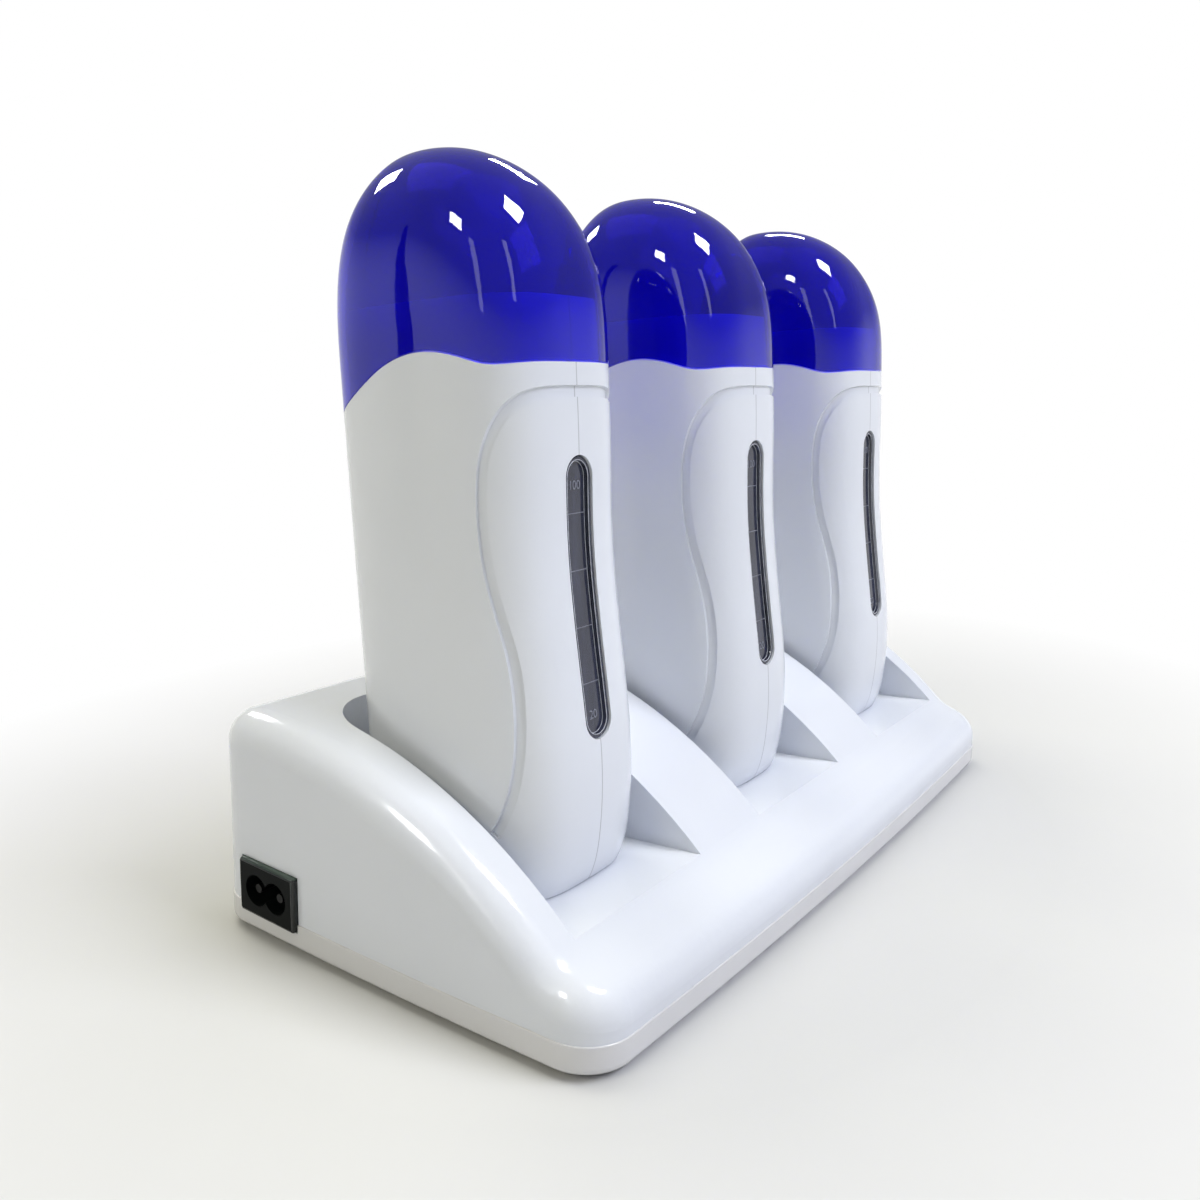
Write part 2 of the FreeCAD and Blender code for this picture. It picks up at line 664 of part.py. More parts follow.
def make_tray():
    """Lower casing: a tray with a tongue that enters the housing, screw posts and foot recesses."""
    top = s.seam_height
    outer = plan_prism("tray_form", -s.tray_proud, s.foot_proud, top)

    def lower_rim(edge):
        return max(v.Point.z for v in edge.Vertexes) < s.foot_proud.value + 0.01

    def upper_rim(edge):
        return min(v.Point.z for v in edge.Vertexes) > s.seam_height.value - 0.01

    outer.round_edges(lower_rim, s.tray_edge)
    outer.round_edges(upper_rim, s.tray_brow)
    plate_top = s.foot_proud + s.tray_plate
    hollow = plan_prism("tray_hollow", s.base_wall, plate_top, top + 1)
    tongue_in = s.base_wall + s.tongue_gap
    tongue = plan_prism("tongue_form", tongue_in, plate_top - 1, top + s.tongue_height)
    tongue_hollow = plan_prism("tongue_hollow", tongue_in + s.tongue_thick, plate_top - 2,
                               top + s.tongue_height + 1)
    rim = combined("Cut", "tray_rim", outer.body, hollow.body)
    ring = combined("Cut", "tray_tongue", tongue.body, tongue_hollow.body)
    post_low = s.foot_proud + s.tray_plate / 2
    posts = [cylinder("post", s.post_radius, top - post_low, x, y, post_low) for x, y in screw_places()]
    solid = fused("tray_solid", [rim, ring] + posts)
    seat = top - s.screw_ledge
    cuts = [inlet_cutout("tray_inlet_cut")]
    for x, y in screw_places():
        cuts.append(cylinder("counterbore", s.screw_head_radius + s.head_gap, seat - s.foot_proud + 1, x, y,
                             s.foot_proud - 1))
        cuts.append(cylinder("clearance_hole", s.base_screw_radius + s.head_gap / 2, s.screw_ledge + 2, x, y,
                             seat - 1))
        cuts.append(cylinder("boss_room", s.boss_radius + s.tongue_gap, s.tongue_height + 1, x, y, top))
    for x, y in foot_places():
        cuts.append(cylinder("foot_recess", s.foot_radius + s.panel_gap, s.foot_inset + 1, x, y,
                             s.foot_proud - 1))
    node(combined("Cut", "base_bottom_tray", solid, fused("tray_cuts", cuts)), "base_bottom_tray")


def foot_places():
    return [(s.foot_x * side, s.foot_y * end) for side in (-1, 1) for end in (-1, 1)]


def make_feet():
    """Four turned rubber feet."""
    foot = Piece("foot")
    height = s.foot_proud + s.foot_inset
    foot.spin(chain(foot.sketch("XZ_Plane"), [(0, 0), (s.foot_radius - s.foot_chamfer, 0),
                                              (s.foot_radius, s.foot_chamfer), (s.foot_radius, height),
                                              (0, height)]))
    feet = [copy_at(foot.body, "foot_copy", x, y, 0) for x, y in foot_places()]
    node(grouped("rubber_feet", feet), "rubber_feet")


def screw(label, shank, length, head, head_height):
    """A round-headed screw, point up, seated at the origin."""
    piece = Piece(label)
    tip = shank * 0.8
    crown = head_height * 0.45
    piece.spin(chain(piece.sketch("XZ_Plane"), [(0, -head_height), (head * 0.6, -head_height),
                                                (head, crown - head_height), (head, 0), (shank, 0),
                                                (shank, length - tip), (0, length)]))
    return piece


def make_base_screws():
    one = screw("base_screw", s.base_screw_radius, s.base_screw_length, s.screw_head_radius,
                s.screw_head_height)
    seat = s.seam_height - s.screw_ledge
    copies = [copy_at(one.body, "base_screw_copy", x, y, seat) for x, y in screw_places()]
    node(grouped("base_screws", copies), "base_screws")


# ---------------------------------------------------------------- mains connectors


def socket_body_half():
    """Half sizes of a socket's body: along the row of pins, and across it."""
    along = s.lobe_spacing / 2 + s.lobe_radius + s.socket_wall
    return along, s.lobe_radius + s.socket_wall


def make_inlet():
    """Figure-eight appliance inlet at the end of the base, its mouth towards -X."""
    along, across = socket_body_half()
    piece = Piece("power_inlet")
    half_y, half_z = s.inlet_flange_width / 2, s.inlet_flange_height / 2
    face = s.inlet_face_x
    seat = face + s.inlet_flange_thick
    flange = piece.sketch("YZ_Plane", face)
    rectangle(flange, s.inlet_y - half_y, s.inlet_z - half_z, s.inlet_y + half_y, s.inlet_z + half_z)
    piece.pad(flange, s.inlet_flange_thick)

    def front_rim(edge):
        return max(v.Point.x for v in edge.Vertexes) < face.value + 0.01

    def flange_corner(edge):
        return edge_runs(edge, (1, 0, 0))

    piece.round_edges(flange_corner, s.inlet_flange_chamfer)
    piece.round_edges(front_rim, s.inlet_flange_chamfer, "Chamfer")
    back = s.socket_depth + s.socket_back
    body = piece.sketch("YZ_Plane", seat)
    rectangle(body, s.inlet_y - along, s.inlet_z - across, s.inlet_y + along, s.inlet_z + across)
    piece.pad(body, back - s.inlet_flange_thick)
    mouth = figure_eight(piece.sketch("YZ_Plane", face), s.inlet_y, s.inlet_z, "x")
    piece.pocket(mouth, s.socket_depth, reverse=True)
    holes = piece.sketch("YZ_Plane", face)
    for side in (-1, 1):
        circle(holes, s.inlet_y + s.pin_spacing * side / 2, s.inlet_z, s.pin_radius + s.fixed_gap)
    piece.pocket(holes, back + 1, reverse=True)
    node(piece.body, "power_inlet")


def pin_pair(label, low, high, radius):
    """Two round pins along W, one each side of the handset's axis."""
    pins = []
    for side in (-1, 1):
        pin = doc.addObject("Part::Cylinder", label)
        bind(pin, "Radius", radius)
        bind(pin, "Height", high - low)
        set_place(pin, 0, s.pin_spacing * side / 2, low)
        pins.append(pin)
    return pins


def make_inlet_pins():
    """The two pins of the base's inlet, along X, each with a solder tag bent down at its inner end."""
    length = s.socket_depth + s.socket_back + s.pin_tail
    pins = []
    for side in (-1, 1):
        piece = Piece("inlet_pin")
        y = s.inlet_y + s.pin_spacing * side / 2
        tip = piece.sketch("YZ_Plane", s.inlet_face_x + s.pin_sunk)
        piece.pad(circle(tip, y, s.inlet_z, s.pin_radius), length - s.pin_sunk)
        tag = piece.sketch("YZ_Plane", s.inlet_face_x + length - s.tag_thick)
        rectangle(tag, y - s.pin_radius, s.wire_level - s.tag_below, y + s.pin_radius, s.inlet_z)
        piece.pad(tag, s.tag_thick)
        pins.append(piece.body)
    node(grouped("inlet_pins", pins), "inlet_pins")


def make_dock_plugs():
    """In each bay a figure-eight plug, held by a flange under the floor, with two contact tubes."""
    plug = Piece("dock_plug_model")
    under = -s.dock_gap - s.bay_floor
    flange_low = under - s.plug_flange_thick
    along = s.lobe_spacing / 2 + s.lobe_radius + s.plug_flange_margin
    across = s.lobe_radius + s.plug_flange_margin
    plug.pad(rectangle(plug.sketch("XY_Plane", flange_low), -across, -along, across, along),
             s.plug_flange_thick)
    plug.pad(figure_eight(plug.sketch("XY_Plane", under), grow=-s.plug_gap), s.plug_height - under)
    bores = plug.sketch("XY_Plane", s.plug_height)
    for side in (-1, 1):
        circle(bores, 0, s.pin_spacing * side / 2, s.contact_outer + s.fixed_gap)
    plug.pocket(bores, s.plug_height - flange_low + 1)

    contacts = []
    for side in (-1, 1):
        tube = Piece("contact")
        top = s.plug_height - s.contact_top_gap
        tube.spin(chain(tube.sketch("XZ_Plane"), [
            (0, -s.contact_base - s.tail_length), (s.tail_radius, -s.contact_base - s.tail_length),
            (s.tail_radius, -s.contact_base), (s.contact_outer, -s.contact_base), (s.contact_outer, top),
            (s.contact_inner, top), (s.contact_inner, s.contact_outer - s.contact_base),
            (0, s.contact_outer - s.contact_base)]))
        set_place(tube.body, 0, s.pin_spacing * side / 2, 0)
        contacts.append(tube.body)
    pair = grouped("contact_pair", contacts)
    for n, (one, two) in enumerate(zip(in_every_bay(plug.body, "dock_plug"),
                                       in_every_bay(pair, "dock_contacts")), start=1):
        node(one, "dock_plug_%d" % n)
        node(two, "dock_contacts_%d" % n)


def tail_y(side):
    """Y of a contact's tail at the height of the wires."""
    v = s.pin_spacing * side / 2
    w = (s.wire_level - s.dock_z + v * sine(s.recline)) / cosine(s.recline)
    return s.dock_y + v * cosine(s.recline) + w * sine(s.recline)


def make_wires():
    """Live and neutral: from the inlet to the first dock, then on from dock to dock."""
    level = s.wire_level
    gap = s.tail_radius + s.wire_end_gap
    first = s.inlet_face_x + s.socket_depth + s.socket_back + s.pin_tail + s.wire_end_gap
    for side, label, turn_x in ((-1, "front_wires", s.front_wire_x), (1, "back_wires", s.back_wire_x)):
        y0 = s.inlet_y + s.pin_spacing * side / 2
        y1 = tail_y(side)
        bend = s.wire_bend if side > 0 else s.wire_bend / 3
        run = Piece(label + "_run")
        end = bay_x(BAYS[0]) - gap
        path = chain(run.sketch("XY_Plane", level), [
            (first, y0), (turn_x - bend, y0, bend, -1), (turn_x, y0 - bend),
            (turn_x, y1 + bend, bend, 1), (turn_x + bend, y1), (end, y1)], closed=False)
        run.pipe(circle(run.sketch("YZ_Plane", first), y0, level, s.wire_radius), path)
        parts = [run.body]
        for bay in BAYS[:-1]:
            link = Piece(label + "_link")
            start = bay_x(bay) + gap
            stop = bay_x(bay + 1) - gap
            length = stop - start
            radius = bow_radius(length, s.wire_sway)
            points = [(start, y1, radius, -side), (stop, y1)]
            path = chain(link.sketch("XY_Plane", level), points, closed=False)
            link.pipe(circle(link.sketch("YZ_Plane", start), y1, level, s.wire_radius), path)
            parts.append(link.body)
        node(grouped(label, parts), label)


# ---------------------------------------------------------------- handset form


def grip_front_at(w):
    """How far the front lies from the axis at a height: straight, with a belly, a waist and a toe."""
    belly = s.belly_swell.value * math.exp(-((w - s.belly_height.value) / s.belly_spread.value) ** 2)
    waist = s.waist_dip.value * math.exp(-((w - s.waist_height.value) / s.waist_spread.value) ** 2)
    toe = s.toe_tuck.value * math.exp(-max(w, 0.0) / s.toe_spread.value)
    return s.grip_front.value + belly - waist - toe


def dome_share(w, start, top, power):
    """1 below the start of a dome, falling to 0 at its top along a superellipse."""
    reach = min(max((w - start) / (top - start), 0.0), 1.0)
    return (1.0 - reach ** power) ** (1.0 / power)


def form_section(w, inset):
    """Front, back, half width and squareness of the handset's outline at a height."""
    top = s.cap_top.value - inset
    crest = s.cap_crest_v.value
    start = s.dome_front_start.value
    front = grip_front_at(min(w, start)) - inset
    back = s.grip_back.value - inset
    front_v = crest - (crest + front) * dome_share(w, start, top, s.dome_front_power.value)
    back_v = crest + (back - crest) * dome_share(w, s.dome_back_start.value, top, s.dome_back_power.value)
    half = (s.grip_half_width.value - inset) * dome_share(w, s.dome_side_start.value, top,
                                                          s.dome_side_power.value)
    rise = min(max((w - start) / (top - start), 0.0), 1.0)
    power = s.grip_power.value + (2.0 - s.grip_power.value) * rise
    return front_v, back_v, half, power


def side_curve(w, inset, side):
    """Half of the outline at a height, from the front round one side to the back, in even spans."""
    front, back, half, power = form_section(w, inset)
    centre, reach = (front + back) / 2, (back - front) / 2
    fine = []
    for step in range(OUTLINE_STEPS + 1):
        turn = math.pi * (step / OUTLINE_STEPS - 0.5)
        swell = (abs(math.cos(turn)) ** power + abs(math.sin(turn)) ** power) ** (-1 / power)
        across = side * half * swell * math.cos(turn) if 0 < step < OUTLINE_STEPS else 0.0
        fine.append(FreeCAD.Vector(across, centre + reach * swell * math.sin(turn), w))
    lengths = [0.0]
    for here, ahead in zip(fine, fine[1:]):
        lengths.append(lengths[-1] + here.distanceToPoint(ahead))
    points = [fine[0]]
    step = 0
    for span in range(1, OUTLINE_SPANS):
        goal = lengths[-1] * span / OUTLINE_SPANS
        while lengths[step + 1] < goal:
            step += 1
        share = (goal - lengths[step]) / (lengths[step + 1] - lengths[step])
        points.append(fine[step] + (fine[step + 1] - fine[step]) * share)
    points.append(fine[-1])
    curve = Part.BSplineCurve()
    curve.interpolate(Points=points, Parameters=[span / OUTLINE_SPANS for span in range(OUTLINE_SPANS + 1)],
                      InitialTangent=FreeCAD.Vector(side, 0, 0), FinalTangent=FreeCAD.Vector(-side, 0, 0))
    return curve.toShape()


def form_heights(top):
    """Heights of the sections that the form is lofted through."""
    start = s.dome_back_start.value
    dome = [start + (top - start) * math.sin(math.radians(angle)) for angle in DOME_ANGLES]
    return list(STRAIGHT_HEIGHTS) + dome


def grip_form(label, inset, sides=(-1, 1)):
    """The whole outside of handset and cap, set in by an amount; one side alone is closed at U = 0."""
    set_in = as_size(inset).value
    wires = []
    for w in form_heights(s.cap_top.value - set_in):
        edges = [side_curve(w, set_in, side) for side in sides]
        if len(sides) == 1:
            ends = [edges[0].Vertexes[0].Point, edges[0].Vertexes[1].Point]
            edges.append(Part.LineSegment(ends[0], ends[1]).toShape())
        wires.append(Part.Wire(Part.__sortEdges__(edges)))
    thing = doc.addObject("Part::Feature", label)
    thing.Shape = Part.makeLoft(wires, True, False)
    return thing


def slab(label, low, high):
    """Everything between two heights, wider than a handset."""
    half = s.grip_half_width + 20
    deep = s.grip_back + 30
    return block(label, (-half, -deep, low), (half, deep, high))


def rim_solid(label, lift):
    """Everything above the wavy line where cap and shells meet."""
    crest_v = s.rim_crest_v.value
    front, back = -s.grip_front.value, s.grip_back.value
    low, high, behind = s.rim_front.value, s.rim_crest.value, s.rim_back.value
    fall = (high - behind) / (back - crest_v)
    # level over the front, a small dip at its corner, the crest over the sides, then down to the back
    points = [(front - RIM_REACH, low), (front + 2, low), (front + 8, low - s.rim_dip.value / 2),
              ((front + crest_v) / 2 + 1, (low + high) / 2 - 0.2), (crest_v, high),
              (crest_v + 11, high - fall * 11 / 2), ((crest_v + back) / 2 + 4, (high + behind) / 2 - 0.6),
              (back, behind), (back + RIM_REACH, behind - RIM_REACH * 0.55)]
    half = s.grip_half_width.value + 10
    vectors = [FreeCAD.Vector(-half, v, w + lift) for v, w in points]
    curve = Part.BSplineCurve()
    curve.interpolate(vectors)
    above = s.cap_top.value + 10
    corners = [vectors[-1], FreeCAD.Vector(-half, back + RIM_REACH, above),
               FreeCAD.Vector(-half, front - RIM_REACH, above), vectors[0]]
    sides = [Part.LineSegment(a, b).toShape() for a, b in zip(corners, corners[1:])]
    face = Part.Face(Part.Wire(Part.__sortEdges__([curve.toShape()] + sides)))
    thing = doc.addObject("Part::Feature", label)
    thing.Shape = face.extrude(FreeCAD.Vector(2 * half, 0, 0))
    return thing


def groove_band(label):
    """The S-shaped band that the groove follows, seen from the side and drawn through both sides."""
    low = s.window_low.value
    tall = s.window_high.value - low
    middle = [(s.grip_front.value + stand, low + share * tall) for stand, share in GROOVE_LINE]
    centre = Part.BSplineCurve()
    centre.interpolate([FreeCAD.Vector(0, -v, w) for v, w in middle])
    sides = []
    for shift in (-0.5, 0.5):
        points = []
        for v, w in middle:
            here = FreeCAD.Vector(0, -v, w)
            ahead = centre.tangent(centre.parameter(here))[0]
            across = FreeCAD.Vector(0, -ahead.z, ahead.y)
            points.append(here + across * (shift * s.groove_width.value))
        curve = Part.BSplineCurve()
        curve.interpolate(points)
        sides.append((curve.toShape(), points))
    ends = [Part.LineSegment(sides[0][1][n], sides[1][1][n]).toShape() for n in (0, -1)]
    face = Part.Face(Part.Wire(Part.__sortEdges__([sides[0][0], sides[1][0]] + ends)))
    half = s.grip_half_width.value + 6
    face.translate(FreeCAD.Vector(-half, 0, 0))
    thing = doc.addObject("Part::Feature", label)
    thing.Shape = face.extrude(FreeCAD.Vector(2 * half, 0, 0))
    return thing


def window_prism(label, grow):
    """The window's outline, driven through the front."""
    piece = Piece(label)
    sketch = piece.sketch("XZ_Plane", s.grip_front - 12)
    piece.pad(stadium(sketch, s.window_half + grow, s.window_low - grow, s.window_high + grow), 25)
    return piece


def column_places():
    """V, W of the screws that join the two shells."""
    return [(-s.toe_screw_v, s.toe_screw_w), (s.toe_screw_v, s.toe_screw_w),
            (s.back_screw_v, s.back_screw_low), (s.back_screw_v, s.back_screw_high)]


def across(label, radius, u_low, u_high, v, w):
    """A cylinder along U."""
    piece = Piece(label)
    piece.pad(circle(piece.sketch("YZ_Plane", u_low), v, w, radius), u_high - u_low)
    return piece.body


def shell_hollow():
    """The space inside the two shells: toe, cartridge room and collar, less the screw columns."""
    room = grip_form("room_form", s.shell_wall)
    collar = grip_form("collar_room_form", s.collar_inset + s.collar_wall)
    shelf_top = s.shelf_low + s.shelf_thick
    toe_room = combined("Common", "toe_room", room, slab("toe_slab", s.shell_wall, s.shelf_low))
    main_room = combined("Common", "main_room", room, slab("main_slab", shelf_top, s.grip_void_top))
    collar_room = combined("Common", "collar_room", collar, slab("collar_slab", s.grip_void_top - 1,
                                                                 s.collar_top + 5))
    half = s.grip_half_width
    columns = fused("columns", [across("column", s.column_radius, -half - 5, half + 5, v, w)
                                for v, w in column_places()])
    rooms = fused("rooms", [toe_room, main_room, collar_room])
    return combined("Cut", "shell_hollow", rooms, columns)


def lead_u():
    """U of the leads where they climb beside the liner."""
    return (s.liner_half_width + s.grip_half_width - s.shell_wall) / 2


def make_shells():
    """Left and right handset shells, joined along U = 0, with collar, window opening and groove."""
    above = rim_solid("above_shoulder", 0.0)
    hollow = shell_hollow()
    window = window_prism("window_cut", as_size(0.0))
    floor_form = grip_form("groove_floor", s.groove_depth)
    groove = combined("Cut", "groove_tool", groove_band("groove_band"), floor_form)
    along, across_half = socket_body_half()
    socket_way = block("socket_way", (-across_half - s.panel_gap, -along - s.panel_gap, -1),
                       (across_half + s.panel_gap, along + s.panel_gap, s.shell_wall + 1))
    shelf_top = s.shelf_low + s.shelf_thick
    lead_holes = [cylinder("lead_hole", s.lead_radius + s.lead_hole_gap, s.shelf_thick + 2, lead_u(),
                           s.pin_spacing * side / 2, shelf_top - s.shelf_thick - 1) for side in (-1, 1)]
    results = []
    for side, name in ((-1, "left"), (1, "right")):
        outer = grip_form("outer_form_" + name, 0.0, (side,))
        grip = combined("Cut", "grip_" + name, outer, above)
        collar_form = grip_form("collar_form_" + name, s.collar_inset, (side,))
        collar = combined("Common", "collar_" + name, collar_form,
                          slab("collar_range_" + name, s.collar_root, s.collar_top))
        solid = fused("solid_" + name, [grip, collar])
        cuts = [hollow, window.body, groove, socket_way]
        if side > 0:
            cuts += lead_holes
        for v, w in column_places():
            if side < 0:
                cuts.append(across("pilot_hole", s.shell_screw_radius + s.thread_gap,
                                   s.shell_screw_seat - s.shell_screw_length - 2, 1, v, w))
            else:
                cuts.append(across("screw_way", s.shell_screw_radius + s.thread_gap * 3, -1,
                                   s.shell_screw_seat + 1, v, w))
                cuts.append(across("head_well", s.shell_screw_head + s.thread_gap * 4, s.shell_screw_seat,
                                   s.grip_half_width + 5, v, w))
        results.append(combined("Cut", "shell_" + name, solid, fused("shell_cuts_" + name, cuts)))
    return results


def make_lens():
    """Clear window lens: it fills the opening and has a flange behind the shells' wall."""
    face = grip_form("lens_face", s.lens_sunk)
    step = grip_form("lens_step_form", s.lens_step)
    back = grip_form("lens_back", s.lens_step + s.lens_flange)
    plate = combined("Common", "lens_plate", combined("Cut", "lens_skin", face, back),
                     window_prism("lens_outline", -s.panel_gap).body)
    flange = combined("Common", "lens_flange_part", combined("Cut", "lens_inner_skin", step, back),
                      window_prism("flange_outline", s.lens_flange_margin).body)
    return fused("lens", [plate, flange])


def make_cap():
    """Lift-off cap: a dome in one skin with the handset, over the collar."""
    outer = grip_form("cap_outer", 0.0)
    inner = grip_form("cap_inner", s.cap_wall)
    return combined("Common", "cap", combined("Cut", "cap_skin", outer, inner),
                    rim_solid("above_gap", s.cap_gap.value))


def make_liner():
    """Aluminium cartridge liner: a box with round corners, open at the top and slit behind the window."""
    piece = Piece("liner")
    low = s.shelf_low + s.shelf_thick + s.liner_seat_gap
    half = s.liner_half_width

    def outline(height, inset):
        return rectangle(piece.sketch("XY_Plane", height), inset - half, inset - s.liner_front, half - inset,
                         s.liner_back - inset)

    piece.pad(outline(low, 0), s.liner_top - low)
    piece.round_edges(lambda edge: edge_runs(edge, (0, 0, 1)), s.liner_corner)
    inner = Piece("liner_room")
    top = s.liner_top + 1
    sketch = rectangle(inner.sketch("XY_Plane", low + s.liner_wall), s.liner_wall - half,
                       s.liner_wall - s.liner_front, half - s.liner_wall, s.liner_back - s.liner_wall)
    inner.pad(sketch, top - low - s.liner_wall)
    inner.round_edges(lambda edge: edge_runs(edge, (0, 0, 1)), s.liner_corner - s.liner_wall)
    slit = Piece("liner_slit")
    opening = slit.sketch("XZ_Plane", s.liner_front - 3)
    slit.pad(stadium(opening, s.window_half + 1, s.window_low - 1, s.window_high + 1), 6)
    return combined("Cut", "liner_part", combined("Cut", "liner_tube", piece.body, inner.body), slit.body)


def make_handset_socket():
    """Socket in a handset's bottom, its mouth down, with a flange on the shells' floor."""
    piece = Piece("handset_socket")
    along, across_half = socket_body_half()
    height = s.socket_depth + s.socket_back
    piece.pad(rectangle(piece.sketch("XY_Plane"), -across_half, -along, across_half, along), height)
    flange_low = s.shell_wall + s.panel_gap
    margin = s.socket_margin
    piece.pad(rectangle(piece.sketch("XY_Plane", flange_low), -across_half - margin, -along - margin,
                        across_half + margin, along + margin), s.socket_wall)
    piece.pocket(figure_eight(piece.sketch("XY_Plane")), s.socket_depth, reverse=True)
    holes = piece.sketch("XY_Plane")
    for side in (-1, 1):
        circle(holes, 0, s.pin_spacing * side / 2, s.pin_radius + s.fixed_gap)
    piece.pocket(holes, height + 1, reverse=True)
    return piece.body


def make_leads():
    """Two leads: up from the socket, across under the shelf, and up beside the liner."""
    start = s.socket_depth + s.socket_back + s.pin_tail + s.wire_end_gap
    bend = s.lead_bend
    parts = []
    for side, end in ((-1, s.fuse_height - s.fuse_radius - s.wire_end_gap),
                      (1, s.heater_low - s.wire_end_gap)):
        lead = Piece("lead")
        level = s.pin_spacing * side / 2
        path = chain(lead.sketch("XZ_Plane", -level), [
            (0, start), (0, s.lead_cross_w - bend, bend, -1), (bend, s.lead_cross_w),
            (lead_u() - bend, s.lead_cross_w, bend, 1), (lead_u(), s.lead_cross_w + bend),
            (lead_u(), end)], closed=False)
        lead.pipe(circle(lead.sketch("XY_Plane", start), 0, level, s.lead_radius), path)
        parts.append(lead.body)
    return grouped("leads", parts)


def make_heater():
    """Heater plate against the right side of the liner."""
    low = s.liner_half_width + s.heater_gap
    middle = (s.liner_back - s.liner_front) / 2
    plate = Piece("heater")
    sketch = rectangle(plate.sketch("YZ_Plane", low), middle - s.heater_width / 2, s.heater_low,
                       middle + s.heater_width / 2, s.heater_low + s.heater_length)
    plate.pad(sketch, s.heater_thick)
    plate.round_edges(lambda edge: edge_runs(edge, (1, 0, 0)), s.heater_corner)
    return plate.body


def make_fuse():
    """Thermal fuse across the lower end of the heater plate."""
    piece = Piece("fuse")
    u = s.liner_half_width + s.fuse_radius + s.heater_gap
    middle = -s.pin_spacing / 2
    sketch = circle(piece.sketch("XZ_Plane", -middle - s.fuse_length / 2), u, s.fuse_height, s.fuse_radius)
    piece.pad(sketch, s.fuse_length)
    return piece.body


def make_shell_screws():
    one = screw("shell_screw", s.shell_screw_radius, s.shell_screw_length, s.shell_screw_head,
                s.shell_screw_head_height)
    copies = []
    for v, w in column_places():
        body = copy_at(one.body, "shell_screw_copy", 0, 0, 0)
        place = "placement(vector(%s; %s; %s); vector(0; 1; 0); -90)"
        body.setExpression("Placement", place % (s.shell_screw_seat.text, v.text, w.text))
        copies.append(body)
    return grouped("shell_screws", copies)


def make_handsets():
    """One model of each handset piece, repeated in the three bays."""
    left, right = make_shells()
    pin_top = s.socket_depth + s.socket_back + s.pin_tail
    models = (("shell_left", left), ("shell_right", right), ("window", make_lens()),
              ("heat_liner", make_liner()), ("heater_plate", make_heater()), ("thermal_fuse", make_fuse()),
              ("socket", make_handset_socket()),
              ("socket_pins", grouped("pins", pin_pair("pin", s.pin_sunk, pin_top, s.pin_radius))),
              ("leads", make_leads()), ("screws", make_shell_screws()))
    for name, model in models:
        for n, copy in enumerate(in_every_bay(model, name), start=1):
            node(copy, "handset_%d_%s" % (n, name))
    for n, copy in enumerate(in_every_bay(make_cap(), "cap"), start=1):
        node(copy, "cap_%d" % n)


def check_and_write():
    """Stop at any failed object or bad shape, then write one STEP file for each node."""
    doc.recompute()
    for thing in doc.Objects:
        if "Invalid" in thing.State or "Error" in thing.State:
            raise RuntimeError("%s failed: %s" % (thing.Label, thing.State))
    for thing in NODES:
        if thing.Shape.isNull() or not thing.Shape.isValid() or not thing.Shape.Solids:
            raise RuntimeError("%s has no valid solid" % thing.Label)
    os.makedirs("parts", exist_ok=True)
    for thing in NODES:
        thing.Shape.exportStep("parts/%s.step" % thing.Label)
        print("%-28s %2d solid %9.1f mm3" % (thing.Label, len(thing.Shape.Solids), thing.Shape.Volume))


make_housing()
make_tray()
make_feet()
make_base_screws()
make_inlet()
make_inlet_pins()
make_dock_plugs()
make_wires()
make_handsets()
check_and_write()
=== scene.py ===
"""Finishes the roll-on wax heater: its plastics, caps, level windows, screws and electrics, and the studio
that it stands in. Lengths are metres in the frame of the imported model: X along the row of bays, -Y to the
front, +Z up."""

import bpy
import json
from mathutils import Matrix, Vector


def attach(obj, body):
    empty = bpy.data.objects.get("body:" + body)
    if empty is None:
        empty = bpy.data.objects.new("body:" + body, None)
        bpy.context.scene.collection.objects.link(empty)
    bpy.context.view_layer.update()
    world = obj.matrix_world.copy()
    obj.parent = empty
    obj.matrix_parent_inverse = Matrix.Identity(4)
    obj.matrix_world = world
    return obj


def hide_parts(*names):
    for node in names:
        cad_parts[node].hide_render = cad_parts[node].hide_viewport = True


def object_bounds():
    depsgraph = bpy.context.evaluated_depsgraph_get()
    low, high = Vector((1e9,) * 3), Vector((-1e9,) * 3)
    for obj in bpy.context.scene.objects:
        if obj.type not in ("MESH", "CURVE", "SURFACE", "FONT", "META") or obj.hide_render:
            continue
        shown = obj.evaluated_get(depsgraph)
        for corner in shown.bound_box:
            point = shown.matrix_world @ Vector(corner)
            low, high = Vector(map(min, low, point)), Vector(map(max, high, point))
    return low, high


bl_info = {
    "name": "Roll-on Wax Heater Finish",
    "version": (1, 0, 0),
    "blender": (4, 5, 0),
    "location": "View3D > Sidebar > Wax Heater",
    "description": "Gives a docked set of roll-on wax heaters its finishes and small detail",
    "category": "Object",
}

import json
import math

import bmesh
import bpy
from bpy.props import FloatProperty, FloatVectorProperty, IntProperty, PointerProperty
from mathutils import Matrix, Vector
from mathutils.bvhtree import BVHTree

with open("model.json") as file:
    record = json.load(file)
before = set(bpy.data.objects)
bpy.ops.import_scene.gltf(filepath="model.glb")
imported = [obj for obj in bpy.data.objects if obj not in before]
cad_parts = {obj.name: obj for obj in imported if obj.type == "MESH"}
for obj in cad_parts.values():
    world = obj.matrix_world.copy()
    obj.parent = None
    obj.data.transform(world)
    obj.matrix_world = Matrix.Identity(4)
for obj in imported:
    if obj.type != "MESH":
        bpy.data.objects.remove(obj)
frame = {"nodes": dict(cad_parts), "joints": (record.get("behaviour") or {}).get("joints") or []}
CAD_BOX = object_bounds()
NODES = frame["nodes"]

MM = 0.001
HANDSETS = (1, 2, 3)
# The level window: how far its flange reaches past the opening, the gap round the lens, the depth of the
# lens from its face to the flange, and the flange's thickness.
FLANGE_MARGIN = 2.0 * MM
LENS_GAP = 0.12 * MM
LENS_STEP = 1.75 * MM
FLANGE_THICK = 1.0 * MM
